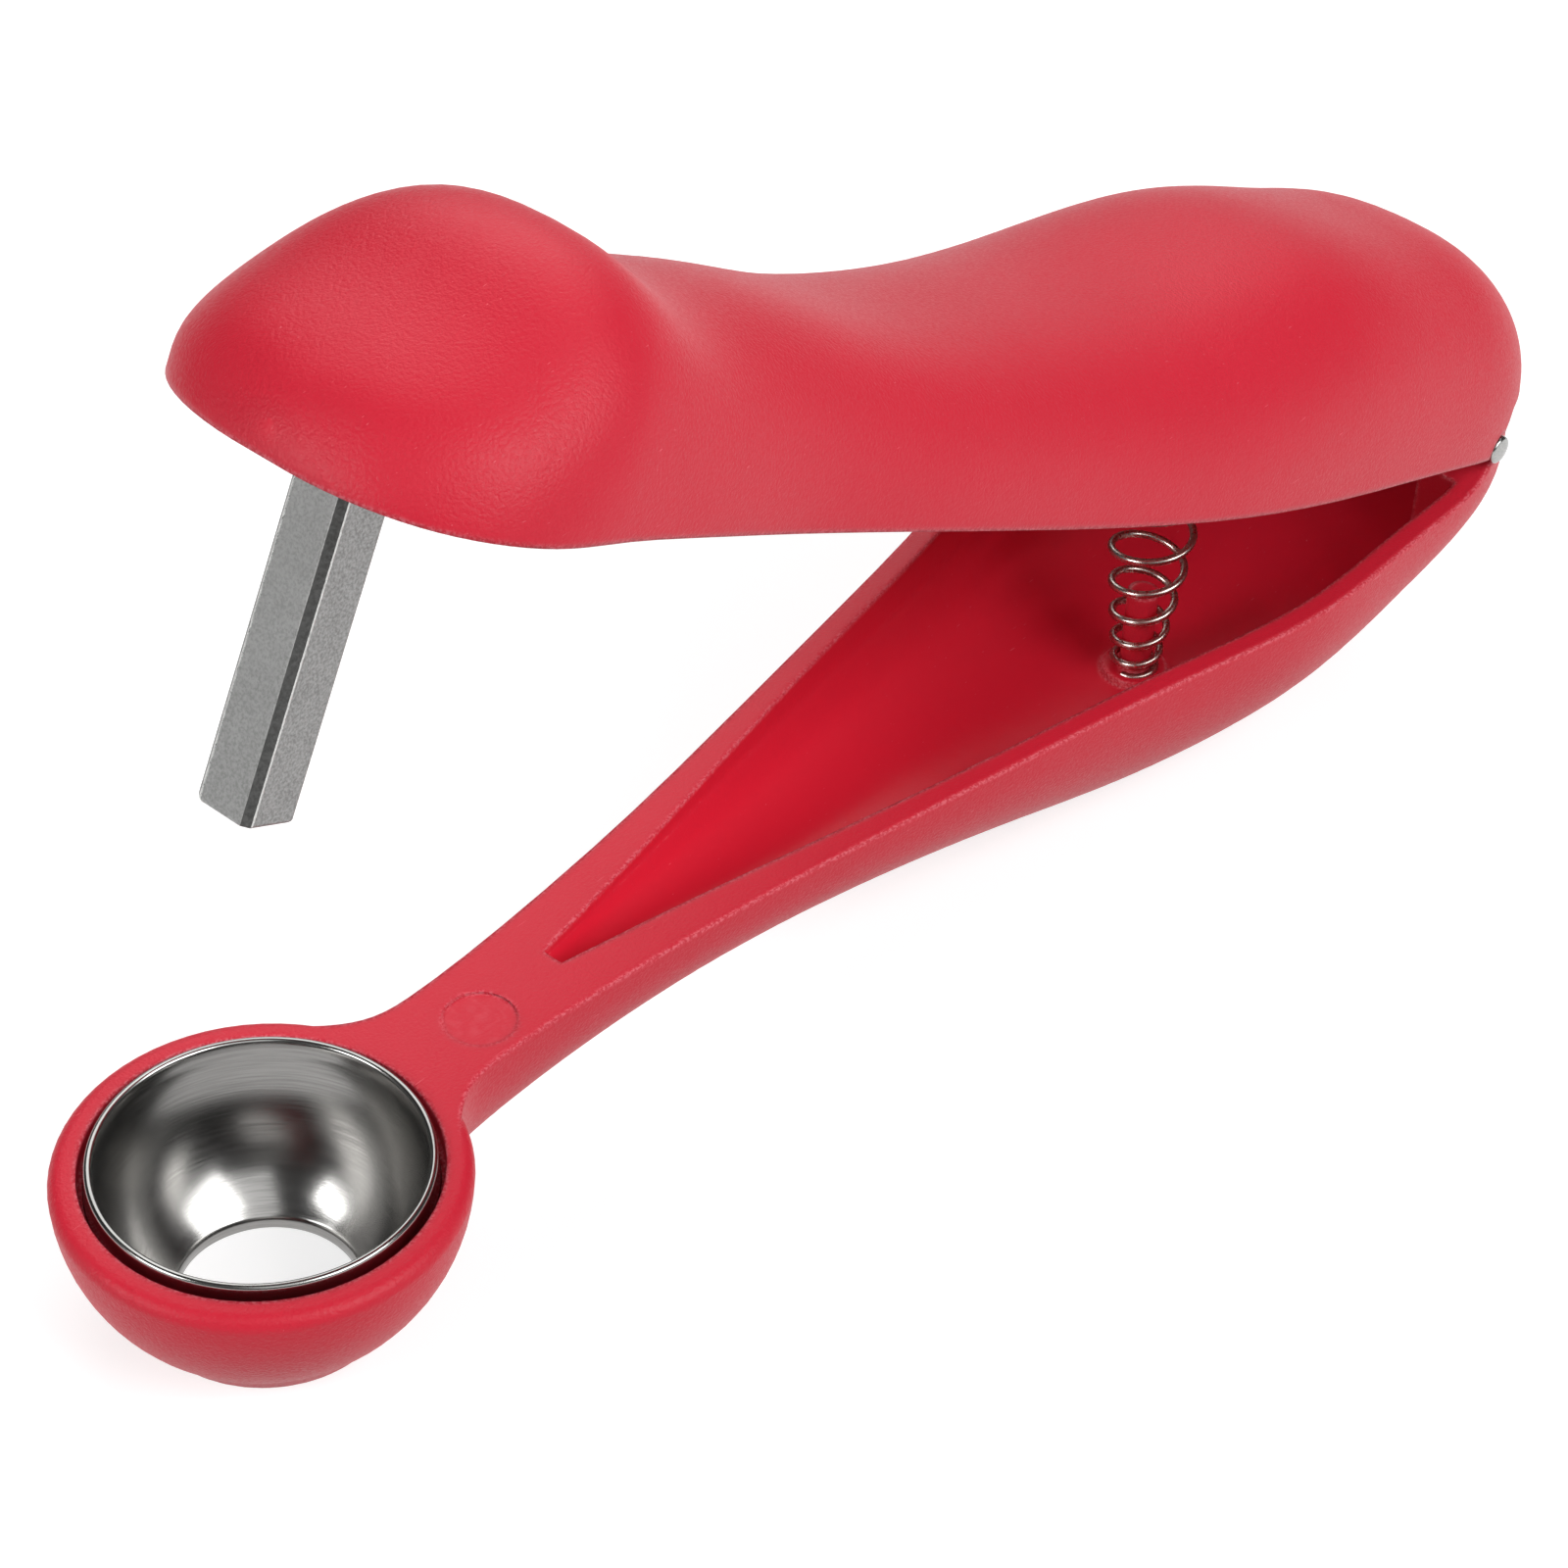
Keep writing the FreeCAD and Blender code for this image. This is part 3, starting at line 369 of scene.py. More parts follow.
# %% Give each corner the mean around it
EVEN_ABOVE, RIM_FADE = 0.4, 1.5       # heights over the rim, in mm, where the mean sets in and is full
means = {}
for corner, at in hood_corners(HOOD_FROM, EVEN_ABOVE):
    key = corner.vert.index
    if key not in means:
        total = Vector()
        for place, k, far in near.find_range(at, EVEN_OVER):
            total += samples[k][1] * (1 - (far / EVEN_OVER) ** 2)
        means[key] = total.normalized()
    share = min((at.x - HOOD_FROM) / (HOOD_FULL - HOOD_FROM), 1) * min(at.z / RIM_FADE, 1)
    corner[exact] = corner[exact].lerp(means[key], share).normalized()
print(len(means), "points took a mean")


# %% Putting things in the scene
def add_object(name, data):
    """Makes an object of a mesh, a lamp or a camera, and puts it in the scene."""
    made = bpy.data.objects.new(name, data)
    bpy.context.scene.collection.objects.link(made)
    return made


def stands_for(piece, node, body):
    """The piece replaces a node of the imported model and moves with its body."""
    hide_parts(node)
    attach(piece, body)


# %% The shell as a piece
mesh = bpy.data.meshes.new("upper_shell")
shell.to_mesh(mesh)
shell.free()
mesh.shade_smooth()
normals = [0.0] * (3 * len(mesh.loops))
mesh.attributes["exact"].data.foreach_get("vector", normals)
mesh.normals_split_custom_set([normals[i:i + 3] for i in range(0, len(normals), 3)])
mesh.attributes.remove(mesh.attributes["exact"])
mesh.materials.clear()
mesh.materials.append(upper_abs)
upper_shell = add_object("upper_shell", mesh)
stands_for(upper_shell, "upper_handle", "upper_lever")
print("upper_shell has", len(mesh.polygons), "faces")

# %% [markdown]
# ## Steels
# The cup, the bar, the wire and the pin are four steels, and the bar's corners and burrs are two more finishes.
# They share one build: a tone, and a grain that drives the roughness, part of the tone and a little bump. What
# differs is how the grain lies. On the bar it is a fine speckle from tumbling, on wire it is nearly nothing, and on
# the cup it runs in rings, because the cup was polished while it turned on a lathe.

# %% One steel material, with its grain given as a vector
STEEL_DRIFT = 2.5 * MM                # size of the slow change of tone
STEEL_MOTTLE = 0.6                    # share of the tone that follows the grain, and not the drift
MOTTLE_LOW, MOTTLE_HIGH = 0.38, 0.62  # the grain's values that give the one tone and the other
STEEL_BUMP = 0.5                      # how much of the grain's depth shows


def steel(name, tones, roughness, grain, depth, vector_of):
    """A steel between two tones. grain is how much the roughness varies, and depth how deep the grain is, in
    metres. vector_of(tree, place) gives the coordinates that the grain is read at."""
    material, tree = new_material(name)
    place = add_node(tree, "ShaderNodeTexCoord").outputs["Object"]
    lay = add_node(tree, "ShaderNodeTexNoise", {"Vector": vector_of(tree, place), "Scale": 1.0, "Detail": 3.0,
                                                "Roughness": 0.6}).outputs["Fac"]
    drift = add_node(tree, "ShaderNodeTexNoise", {"Vector": place, "Scale": 1 / STEEL_DRIFT, "Detail": 4.0})
    mottle = add_node(tree, "ShaderNodeMapRange", {"Value": lay, "From Min": MOTTLE_LOW, "From Max": MOTTLE_HIGH})
    mottle = add_node(tree, "ShaderNodeMix", {0: STEEL_MOTTLE, 2: drift.outputs["Fac"], 3: mottle.outputs[0]},
                      data_type="FLOAT")
    tone = add_node(tree, "ShaderNodeMix", {0: mottle.outputs[0], 6: colour(tones[0]), 7: colour(tones[1])},
                    data_type="RGBA")
    rough = add_node(tree, "ShaderNodeMapRange", {"Value": lay, "From Min": NOISE_LOW, "From Max": NOISE_HIGH,
                                                  "To Min": roughness * (1 - grain),
                                                  "To Max": roughness * (1 + grain)})
    bump = add_node(tree, "ShaderNodeBump", {"Strength": STEEL_BUMP, "Distance": depth, "Height": lay})
    shader = add_node(tree, "ShaderNodeBsdfPrincipled",
                      {"Base Color": tone.outputs[2], "Metallic": 1.0, "Roughness": rough.outputs[0],
                       "Normal": bump.outputs["Normal"]})
    put_out(tree, shader.outputs["BSDF"])
    return material


def speckle(size):
    """Grain of that size, the same every way."""
    def vector(tree, place):
        return add_node(tree, "ShaderNodeVectorMath", {0: place, "Scale": 1 / size}, operation="SCALE").outputs[0]
    return vector


# %% Rings round the cup's axis
RING_PITCH = 0.16 * MM                # polishing marks are finer, and are drawn this coarse so that they show
ROUND_SCALE = 2.0                     # how often the grain changes on the way round a ring


def lathe_rings(tree, place):
    """Fast across the rings, slow along them. The angle enters as a point on a circle, so it has no seam."""
    flat = add_node(tree, "ShaderNodeVectorMath", {0: place, 1: (1, 1, 0)}, operation="MULTIPLY")
    radius = add_node(tree, "ShaderNodeVectorMath", {0: flat.outputs[0]}, operation="LENGTH")
    circle = add_node(tree, "ShaderNodeVectorMath", {0: flat.outputs[0]}, operation="NORMALIZE")
    circle = add_node(tree, "ShaderNodeVectorMath", {0: circle.outputs[0], "Scale": ROUND_SCALE}, operation="SCALE")
    height = add_node(tree, "ShaderNodeSeparateXYZ", {0: place})
    down = add_node(tree, "ShaderNodeMath", {0: radius.outputs["Value"], 1: height.outputs["Z"]}, operation="ADD")
    down = add_node(tree, "ShaderNodeMath", {0: down.outputs[0], 1: 1 / RING_PITCH}, operation="MULTIPLY")
    down = add_node(tree, "ShaderNodeCombineXYZ", {"Z": down.outputs[0]})
    return add_node(tree, "ShaderNodeVectorMath", {0: circle.outputs[0], 1: down.outputs[0]}).outputs[0]


# %% The steels by name
# A dark mirror, whose bright spots the rings draw out into soft streaks.
polished_sheet = steel("stainless sheet, drawn and lathe-polished", ("A4A3A1", "949391"),
                       roughness=0.21, grain=0.22, depth=0.004 * MM, vector_of=lathe_rings)
# An even grey with no mirror left in it, and a fine salt-and-pepper speckle.
tumbled_bar = steel("bar steel, cold-drawn and tumbled", ("9F9F9E", "767675"),
                    roughness=0.42, grain=0.25, depth=0.03 * MM, vector_of=speckle(0.22 * MM))
# Dark and coarse, so the corner reads as a line between two pale faces.
bar_corner = steel("bar steel, corner as drawn", ("626261", "4C4C4B"),
                   roughness=0.48, grain=0.3, depth=0.06 * MM, vector_of=speckle(0.30 * MM))
# Bright, as handling polishes whatever stands out. It shows as a thin, ragged line.
burr_steel = steel("bar steel, burr rubbed bright", ("D2D2D0", "BEBEBC"),
                   roughness=0.3, grain=0.3, depth=0.02 * MM, vector_of=speckle(0.12 * MM))
# Bright and a little warm, with a sharp line of light along each coil.
bright_wire = steel("spring wire, hard-drawn", ("D2CBC4", "B9B1A9"),
                    roughness=0.28, grain=0.2, depth=0.004 * MM, vector_of=speckle(0.4 * MM))
# Plain and bright, as only its end shows.
ground_pin = steel("pin steel, ground", ("B0B0AE", "9E9E9C"),
                   roughness=0.25, grain=0.2, depth=0.006 * MM, vector_of=speckle(0.25 * MM))
for material in (polished_sheet, tumbled_bar, bar_corner, burr_steel, bright_wire, ground_pin):
    print(material.name)

# %% [markdown]
# ## Turned pieces
# The cup and the pin are round, so each is an outline turned about an axis. A short function does what Blender's
# Spin tool does: it repeats the outline at even angles and joins neighbours with quads.

# %% Turning an outline, and making a piece of it
WELD = 1e-4 * MM                      # points this near become one, as those on the axis do


def arc(centre, radius, start, end, steps):
    """Points (radius, height) on an arc, with its angles in degrees."""
    turns = [math.radians(start + (end - start) * step / steps) for step in range(steps + 1)]
    return [(centre[0] + radius * math.cos(turn), centre[1] + radius * math.sin(turn)) for turn in turns]


def turned(outline, segments, closed=True):
    """Turns an outline of (radius, height) in mm about Z. A closed outline gives a ring-shaped solid."""
    made = bmesh.new()
    rings = []
    for step in range(segments):
        way = Vector((math.cos(math.tau * step / segments), math.sin(math.tau * step / segments), 0))
        rings.append([made.verts.new((way * radius + Vector((0, 0, height))) * MM) for radius, height in outline])
    steps = len(outline) if closed else len(outline) - 1
    for here, after in zip(rings, rings[1:] + rings[:1]):
        for low in range(steps):
            high = (low + 1) % len(outline)
            made.faces.new((here[low], after[low], after[high], here[high]))
    bmesh.ops.remove_doubles(made, verts=made.verts, dist=WELD)
    return made


def finish_piece(name, made, materials, sharp=40):
    """Makes an object of a bmesh, with its faces outwards, and sharp where it bends by more than so many degrees."""
    bmesh.ops.recalc_face_normals(made, faces=made.faces)
    mesh = bpy.data.meshes.new(name)
    made.to_mesh(mesh)
    made.free()
    mesh.shade_smooth()
    mesh.set_sharp_from_angle(angle=math.radians(sharp))
    for material in materials:
        mesh.materials.append(material)
    print(name, "has", len(mesh.polygons), "faces")
    return add_object(name, mesh)


# %% [markdown]
# ## The drawn cup
# One disc of stainless sheet was pressed into a bowl, and its middle was pierced and bent down into a short
# collar. A press can't fold sheet sharply, so the collar leaves the bowl by a soft bend, and the lip was turned
# to a half round. Both catch thin lines of light, which is why they are in the mesh and not only in a shader.

# %% Where the cup's arcs meet, with heights from the rim plane
LIP_RADIUS, SHEET, LIP_TOP = 12.25, 0.6, 0.7
BOWL_RADIUS, BOWL_DROP = 11.8, 2.45
OUTLET_RADIUS, COLLAR, COLLAR_BEND = 6.5, 0.9, 0.8
LIP_ROUND = SHEET / 2
BURR = 0.12                           # the collar's end was deburred by this much

middle = (0, -BOWL_DROP)
outside = BOWL_RADIUS + SHEET
collar_end = -BOWL_DROP - math.sqrt(BOWL_RADIUS ** 2 - OUTLET_RADIUS ** 2) - COLLAR
bend_radius = OUTLET_RADIUS + COLLAR_BEND
bend = (bend_radius, -BOWL_DROP - math.sqrt((BOWL_RADIUS + COLLAR_BEND) ** 2 - bend_radius ** 2))
bend_angle = math.degrees(math.atan2(bend[1] + BOWL_DROP, bend[0]))
lip_angle = math.degrees(math.acos((LIP_RADIUS - SHEET) / BOWL_RADIUS))
under_angle = -math.degrees(math.acos((OUTLET_RADIUS + SHEET) / outside))
side_angle = math.degrees(math.acos(LIP_RADIUS / outside))
print("the bowl leaves the lip at", round(lip_angle, 1), "and meets the bend at", round(bend_angle, 1), "degrees")

# %% Lip, bowl, collar and underside, and the turn
CUP_SEGMENTS = 192
outline = arc((LIP_RADIUS - LIP_ROUND, LIP_TOP - LIP_ROUND), LIP_ROUND, 0, 180, 12)
outline += arc(middle, BOWL_RADIUS, lip_angle, bend_angle, 44)
outline += arc(bend, COLLAR_BEND, 180 + bend_angle, 180, 8)
outline += arc((OUTLET_RADIUS + BURR, collar_end + BURR), BURR, 180, 270, 3)
outline += arc((OUTLET_RADIUS + SHEET - BURR, collar_end + BURR), BURR, 270, 360, 3)
outline += arc(middle, outside, under_angle, side_angle, 30)
drawn_cup = turned(outline, CUP_SEGMENTS)
drawn_cup.transform(Matrix.Translation((0, 0, RIM)))
drawn_cup = finish_piece("drawn_cup", drawn_cup, [polished_sheet])
stands_for(drawn_cup, "cup_insert", "lower_lever")

# %% [markdown]
# ## The hinge pin
# A length of ground rod. Its ends show in the notches between the levers, so they get the small dome that
# parting off and tumbling leave.

# %% Pin, turned about Z and then laid across the levers
PIN_RADIUS, PIN_HALF, PIN_SEGMENTS = 1.25, 17.1, 48
PIN_DOME = ((0, 0), (0.55, 0.03), (0.9, 0.1))         # radius, and how far the dome has dropped there
PIN_EDGE, PIN_EDGE_DROP = 0.28, 0.4                   # radius of the rounded edge, and how deep its middle is
end = [(radius, PIN_HALF - drop) for radius, drop in PIN_DOME]
end += arc((PIN_RADIUS - PIN_EDGE, PIN_HALF - PIN_EDGE_DROP), PIN_EDGE, 70, 0, 5)
pin = turned(end + [(radius, -height) for radius, height in reversed(end)], PIN_SEGMENTS, closed=False)
pin.transform(Matrix.Translation(HINGE) @ Matrix.Rotation(math.radians(90), 4, "X"))
pin = finish_piece("lever_pin", pin, [ground_pin])
stands_for(pin, "hinge_pin", "lower_lever")

# %% [markdown]
# ## The pitting bar
# Square bar with its corners knocked off. The corners keep the dark, coarse skin of the drawing die, while the
# faces were tumbled to satin. Along one edge of each corner the die left a thin burr, ragged and bright. The bar
# is a stack of cross-sections: the burr's height follows a noise along the bar, and the lowest sections shrink in
# a quarter circle, which rounds the tip.

# %% Cross-section of the bar
SIDE, CORNER = 4.9, 0.55              # in mm, as all the bar's sizes
EASE = 0.02                           # the corner's ends are eased by this much
BURR_WIDTH, BURR_HEIGHT = 0.16, 0.06
SWELL, SWELL_RANGE, SWELL_LEAST = 0.6, 0.9, 0.15      # the burr's height, as shares of the one above
SWELL_LENGTH = 0.55                                   # length of bar over which it changes
RAGGED, RAGGED_LENGTH = 0.04, 0.35                    # how far and over what length the burr wanders sideways
APART = 7                                             # each corner reads the noise this far from the last one
half, inner = SIDE / 2, SIDE / 2 - CORNER


def bar_section(height):
    """One ring of points, and what the side after each point is. The burr swells and fades with height."""
    points, kinds = [], []
    for quarter in range(4):
        turn = Matrix.Rotation(math.radians(90 * quarter), 2)
        swell = SWELL + SWELL_RANGE * noise.noise(Vector((APART * quarter, 0, height / SWELL_LENGTH)))
        swell = max(SWELL_LEAST, swell)
        ragged = RAGGED * noise.noise(Vector((APART * quarter, 3, height / RAGGED_LENGTH)))
        for point, kind in (
                ((half, inner - 3 * EASE), "face"), ((half - EASE, inner + 1.5 * EASE), "corner"),
                ((inner + EASE + ragged, half - EASE), "burr"),
                ((inner - BURR_WIDTH / 2 + ragged, half + BURR_HEIGHT * swell), "burr"),
                ((inner - BURR_WIDTH - ragged, half), "face")):
            points.append(turn @ Vector(point))
            kinds.append(kind)
    return points, kinds


# %% Heights of the sections, and how much each shrinks
TIP_DROP, TOP = 25.0, 4.3             # below and above the rim plane, levers closed
STEP, TIP_ROUND, ROUND_STEPS = 0.2, 0.4, 15
heights = []
for k in range(ROUND_STEPS + 1):
    turn = math.radians(90 * k / ROUND_STEPS)
    heights.append((-TIP_DROP + TIP_ROUND * (1 - math.cos(turn)), TIP_ROUND * (1 - math.sin(turn))))
straight = TOP + TIP_DROP - TIP_ROUND
count = round(straight / STEP)
heights += [(-TIP_DROP + TIP_ROUND + straight * k / count, 0) for k in range(1, count + 1)]
print(len(heights), "sections over", TOP + TIP_DROP, "mm")

# %% Stack the sections
CUP_REACH = -HINGE.x / MM             # hinge to bar, in mm
MATERIAL_OF = {"face": 0, "corner": 1, "burr": 2}
bar = bmesh.new()
rings = []
for height, shrink in heights:
    points, kinds = bar_section(height)
    points = [point * (1 - shrink / half) for point in points]
    rings.append([bar.verts.new(((point.x + CUP_REACH) * MM, point.y * MM, height * MM)) for point in points])
for here, above in zip(rings, rings[1:]):
    for k, kind in enumerate(kinds):
        after = (k + 1) % len(here)
        face = bar.faces.new((here[k], here[after], above[after], above[k]))
        face.material_index = MATERIAL_OF[kind]
bar.faces.new(rings[0])
bar.faces.new(rings[-1])
bar.transform(lift @ Matrix.Translation((HINGE.x, 0, RIM)))
bar = finish_piece("pitting_bar", bar, [tumbled_bar, bar_corner, burr_steel], sharp=8)
stands_for(bar, "pitting_rod", "upper_lever")

# %% [markdown]
# ## The return spring
# Nine turns of wire that start tight and narrow round a post in the lower lever, and open out towards the seat in
# the upper one, which is tilted. Each point's place follows from how far along the wire it is, so this is work
# for Geometry Nodes: resample a line, move every point to its place on the coil by the law below, and sweep a
# circle along it.
#
# The law: with s from 0 to 1 along the wire, the climb is s to a power, which crowds the coils at the foot. The
# radius grows with the climb until it is full. The middle bends forward late, and the coils take the seat's tilt
# only at the very end.

# %% Inputs of the spring's tree
FOOT = Vector((27.3, 0, -14.612)) * MM        # middle of the first coil, from the hinge and the rim plane
SEAT_RISE = 0.95 * MM                         # last coil above the line from the hinge, levers closed
SPRING = {
    "Foot": FOOT + Vector((HINGE.x, 0, RIM)),
    "Head": lift @ (HINGE + Vector((FOOT.x, 0, SEAT_RISE))),
    "Turns": 9.0,
    "Foot Radius": 1.75 * MM,
    "Head Radius": 3.4 * MM,
    "Crowding": 1.4,
    "Widening": 2.3,
    "Bend": 2.5,
    "Tilt": OPEN_ANGLE,
    "Wire Radius": 0.34 * MM,
}
tree = bpy.data.node_groups.new("coil spring", "GeometryNodeTree")
tree.interface.new_socket("Geometry", in_out="OUTPUT", socket_type="NodeSocketGeometry")
sockets = {}
for name, value in SPRING.items():
    kind = "NodeSocketVector" if isinstance(value, Vector) else "NodeSocketFloat"
    sockets[name] = tree.interface.new_socket(name, in_out="INPUT", socket_type=kind).identifier
sockets["Steel"] = tree.interface.new_socket("Steel", in_out="INPUT", socket_type="NodeSocketMaterial").identifier
given = add_node(tree, "NodeGroupInput").outputs
print("the spring is", round((SPRING["Head"] - SPRING["Foot"]).length / MM, 1), "mm from foot to head")

# %% Climb, radius, tilt and angle along the wire
TILT_LATE = 4.0                       # power of s that holds the tilt back to the end
share = add_node(tree, "GeometryNodeSplineParameter").outputs["Factor"]
climb = add_node(tree, "ShaderNodeMath", {0: share, 1: given["Crowding"]}, operation="POWER").outputs[0]
widen = add_node(tree, "ShaderNodeMath", {0: climb, 1: given["Widening"]}, operation="MULTIPLY", use_clamp=True)
radius = add_node(tree, "ShaderNodeMix", {0: widen.outputs[0], 2: given["Foot Radius"], 3: given["Head Radius"]},
                  data_type="FLOAT").outputs[0]
late = add_node(tree, "ShaderNodeMath", {0: share, 1: TILT_LATE}, operation="POWER")
tilt = add_node(tree, "ShaderNodeMath", {0: late.outputs[0], 1: given["Tilt"]}, operation="MULTIPLY").outputs[0]
turns = add_node(tree, "ShaderNodeMath", {0: given["Turns"], 1: math.tau}, operation="MULTIPLY")
angle = add_node(tree, "ShaderNodeMath", {0: share, 1: turns.outputs[0]}, operation="MULTIPLY").outputs[0]

# %% Each point's place round the coil's middle
cosine = add_node(tree, "ShaderNodeMath", {0: angle}, operation="COSINE")
sine = add_node(tree, "ShaderNodeMath", {0: angle}, operation="SINE")
out = add_node(tree, "ShaderNodeMath", {0: radius, 1: cosine.outputs[0]}, operation="MULTIPLY").outputs[0]
across = add_node(tree, "ShaderNodeMath", {0: radius, 1: sine.outputs[0]}, operation="MULTIPLY").outputs[0]
level = add_node(tree, "ShaderNodeMath", {0: tilt}, operation="COSINE")
rise = add_node(tree, "ShaderNodeMath", {0: tilt}, operation="SINE")
forward = add_node(tree, "ShaderNodeMath", {0: out, 1: level.outputs[0]}, operation="MULTIPLY").outputs[0]
upward = add_node(tree, "ShaderNodeMath", {0: out, 1: rise.outputs[0]}, operation="MULTIPLY").outputs[0]
ring_place = add_node(tree, "ShaderNodeCombineXYZ", {"X": forward, "Y": across, "Z": upward}).outputs[0]

# %% The middle's own place, and the two together
bent = add_node(tree, "ShaderNodeMath", {0: climb, 1: given["Bend"]}, operation="POWER").outputs[0]
climb_by_axis = add_node(tree, "ShaderNodeCombineXYZ", {"X": bent, "Y": climb, "Z": climb}).outputs[0]
axis_place = add_node(tree, "ShaderNodeMix", {1: climb_by_axis, 4: given["Foot"], 5: given["Head"]},
                      data_type="VECTOR", factor_mode="NON_UNIFORM").outputs[1]
coil_place = add_node(tree, "ShaderNodeVectorMath", {0: axis_place, 1: ring_place}).outputs[0]
print("the law of the coil takes", len(tree.nodes), "nodes")

# %% Points on the line, moved to the coil, with a circle swept along them
POINTS_A_TURN, WIRE_SIDES = 48, 16
count = round(SPRING["Turns"] * POINTS_A_TURN) + 1
path = add_node(tree, "GeometryNodeCurvePrimitiveLine").outputs["Curve"]
path = add_node(tree, "GeometryNodeResampleCurve", {"Curve": path, "Count": count}).outputs["Curve"]
path = add_node(tree, "GeometryNodeSetPosition", {"Geometry": path, "Position": coil_place}).outputs["Geometry"]
section = add_node(tree, "GeometryNodeCurvePrimitiveCircle",
                   {"Resolution": WIRE_SIDES, "Radius": given["Wire Radius"]}).outputs["Curve"]
wire = add_node(tree, "GeometryNodeCurveToMesh",
                {"Curve": path, "Profile Curve": section, "Fill Caps": True}).outputs["Mesh"]
wire = add_node(tree, "GeometryNodeRealizeInstances", {"Geometry": wire}).outputs["Geometry"]
wire = add_node(tree, "GeometryNodeSetMaterial", {"Geometry": wire, "Material": given["Steel"]})
add_node(tree, "NodeGroupOutput", {0: wire.outputs["Geometry"]})
print(count, "points along the wire")

# %% Run the tree and keep its mesh
holder = add_object("spring_tree", bpy.data.meshes.new("spring_tree"))
modifier = holder.modifiers.new("coil", "NODES")
modifier.node_group = tree
for name, value in SPRING.items():
    modifier[sockets[name]] = value
modifier[sockets["Steel"]] = bright_wire
evaluated = holder.evaluated_get(bpy.context.evaluated_depsgraph_get())
mesh = bpy.data.meshes.new_from_object(evaluated)
bpy.data.objects.remove(holder)
spring = bmesh.new()
spring.from_mesh(mesh)
spring = finish_piece("coil_spring", spring, [bright_wire])
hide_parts("return_spring")
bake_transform(spring)

# %% [markdown]
# ## Table, backdrop and light
# The tool lies on a pale table. It rests on the foot under the cup and on the belly of the lower lever, so the
# table is tilted a little in the tool's own frame. The light is a dim studio, because steel looks like steel only
# where it has something dark to mirror: one small soft box low on the left, which makes the bright spots in the
# cup, a large one on the right for the long flanks, one at the back for the far edges, and a weak fill from the
# camera's side for the shade between the levers.

# %% The table under the tool
TABLE = 12.0                          # half its side, in metres
RING_BACK, BELLY_FRONT = -12 * MM, -40 * MM   # the foot lies in front of the one, the belly behind the other
ON_FOOT, TABLE_GAP = 0.01 * MM, 0.02 * MM
lower = [vertex.co for vertex in lower_mesh.vertices]
foot_z = min(point.z for point in lower if point.x > RING_BACK)
foot_x = min(point.x for point in lower if point.x > RING_BACK and point.z < foot_z + ON_FOOT)
slope = max((foot_z - point.z) / (foot_x - point.x) for point in lower if point.x < BELLY_FRONT)
print("table tilt", round(math.degrees(math.atan(slope)), 2), "degrees")
mesh = bpy.data.meshes.new("table")
corners = [(x, y, foot_z + slope * (x - foot_x) - TABLE_GAP) for x, y in
           ((-TABLE, -TABLE), (TABLE, -TABLE), (TABLE, TABLE), (-TABLE, TABLE))]
mesh.from_pydata(corners, [], [(0, 1, 2, 3)])
table = add_object("table", mesh)

# %% [markdown]
# The table is covered with matt, pale paper. To look white it would need more light than the tool can take, so it
# glows by itself, but only for rays from the camera, from a shiny surface or through a clear one. The rays that
# light the tool find plain paper, which also keeps the tool's shadow.

# %% The paper, white where it is seen
PAPER = "B8B8B8"
LIFT = 0.70                           # how strongly it glows
material, tree = new_material("pale paper")
rays = add_node(tree, "ShaderNodeLightPath").outputs
seen = rays["Is Camera Ray"]
for other in ("Is Glossy Ray", "Is Transmission Ray"):
    seen = add_node(tree, "ShaderNodeMath", {0: seen, 1: rays[other]}, operation="ADD", use_clamp=True).outputs[0]
seen = add_node(tree, "ShaderNodeMath", {0: seen, 1: LIFT}, operation="MULTIPLY").outputs[0]
paper = add_node(tree, "ShaderNodeBsdfDiffuse", {"Color": colour(PAPER)})
glow = add_node(tree, "ShaderNodeEmission", {"Color": colour("FFFFFF"), "Strength": seen})
both = add_node(tree, "ShaderNodeAddShader", {0: paper.outputs[0], 1: glow.outputs[0]})
put_out(tree, both.outputs[0])
table.data.materials.append(material)
print(table.name, "is", material.name)

# %% The room, dim, and a little paler at the table's height
LOW_WALL, CEILING = 0.12, 0.05
WALL_FROM, WALL_TO = 0.1, 0.4         # sines of the heights between which the wall darkens
world = bpy.data.worlds.new("studio room")
world.use_nodes = True
tree = world.node_tree
tree.nodes.clear()
way = add_node(tree, "ShaderNodeSeparateXYZ", {0: add_node(tree, "ShaderNodeTexCoord").outputs["Generated"]})
height = add_node(tree, "ShaderNodeMapRange", {"Value": way.outputs["Z"], "From Min": WALL_FROM,
                                               "From Max": WALL_TO, "To Min": LOW_WALL, "To Max": CEILING})
room = add_node(tree, "ShaderNodeBackground", {"Color": colour("FFFFFF"), "Strength": height.outputs["Result"]})
add_node(tree, "ShaderNodeOutputWorld", {"Surface": room.outputs[0]})
bpy.context.scene.world = world
print(world.name, "has", len(tree.nodes), "nodes")

# %% [markdown]
# The camera and the lamps all look at one point in the middle of the tool. Each is placed by its direction from
# there: an azimuth, counted from +X towards +Y, and an elevation. The same function gives the camera's own up,
# because that points 90 degrees higher.


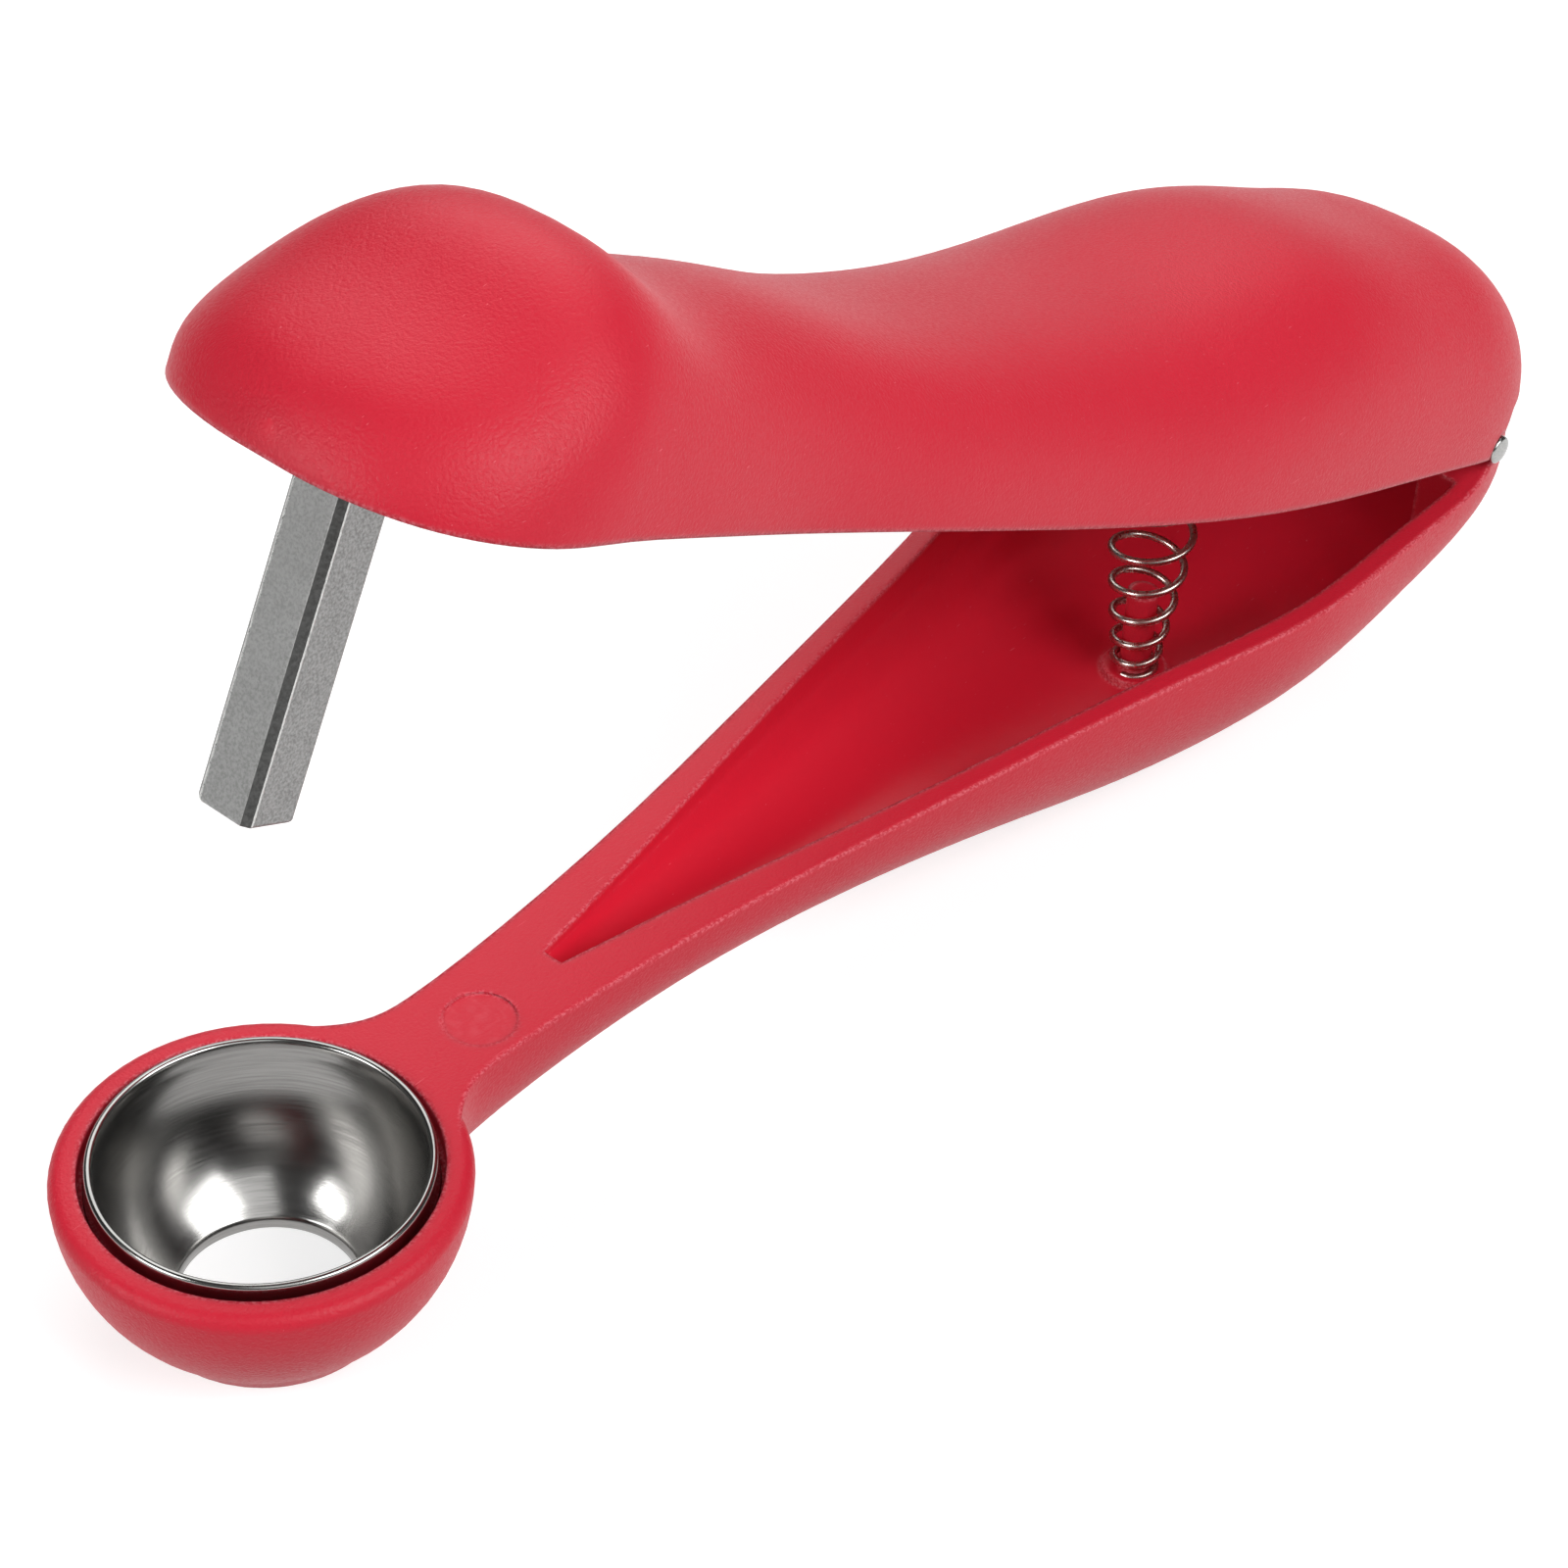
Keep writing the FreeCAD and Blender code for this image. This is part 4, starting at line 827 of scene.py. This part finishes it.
# %% Camera
def way_to(azimuth, elevation):
    """The direction with that azimuth and elevation, in degrees."""
    a, e = math.radians(azimuth), math.radians(elevation)
    return Vector((math.cos(e) * math.cos(a), math.cos(e) * math.sin(a), math.sin(e)))


AZIMUTH, ELEVATION = 39.0, 40.06
ROLL = math.radians(3.04)
TARGET = Vector((-56.03, -0.62, 12.75)) * MM
DISTANCE = 311.6 * MM
LENS, SENSOR = 92, 36                 # in mm
NEAREST = 0.01                        # the camera sees nothing nearer than this, in metres
back, up = way_to(AZIMUTH, ELEVATION), way_to(AZIMUTH, ELEVATION + 90)
right = up.cross(back)
axes = (math.cos(ROLL) * right + math.sin(ROLL) * up, math.cos(ROLL) * up - math.sin(ROLL) * right, back)
data = bpy.data.cameras.new("camera")
data.lens = LENS
data.sensor_width = SENSOR
data.clip_start = NEAREST
camera = add_object("camera", data)
camera.matrix_world = Matrix.Translation(TARGET + back * DISTANCE) @ Matrix(axes).transposed().to_4x4()
bpy.context.scene.camera = camera
print("camera at", [round(v / MM, 1) for v in camera.matrix_world.translation], "mm")

# %% Lamps
LAMP_DISTANCE = 0.9                   # in metres


def soft_box(name, azimuth, elevation, side, brightness):
    """A square soft box that looks at the middle of the tool. A lamp's power follows from how bright its face is,
    because the same face at another size should look the same."""
    data = bpy.data.lights.new(name, "AREA")
    data.shape = "SQUARE"
    data.size = side
    data.energy = brightness * math.pi * side ** 2
    lamp = add_object(name, data)
    way = way_to(azimuth, elevation)
    lamp.location = TARGET + way * LAMP_DISTANCE
    lamp.rotation_mode = "QUATERNION"
    lamp.rotation_quaternion = way.to_track_quat("Z", "Y")
    print(name, round(data.energy, 2), "W")


soft_box("left box", -17, 30, side=0.36, brightness=9.2)
soft_box("right box", 100, 40, side=0.60, brightness=5.8)
soft_box("camera fill", 60, 50, side=0.60, brightness=1.2)
soft_box("back box", -140, 45, side=0.80, brightness=2.3)

# %% Colours as they are
bpy.context.scene.view_settings.view_transform = "Standard"
print("view transform", bpy.context.scene.view_settings.view_transform)
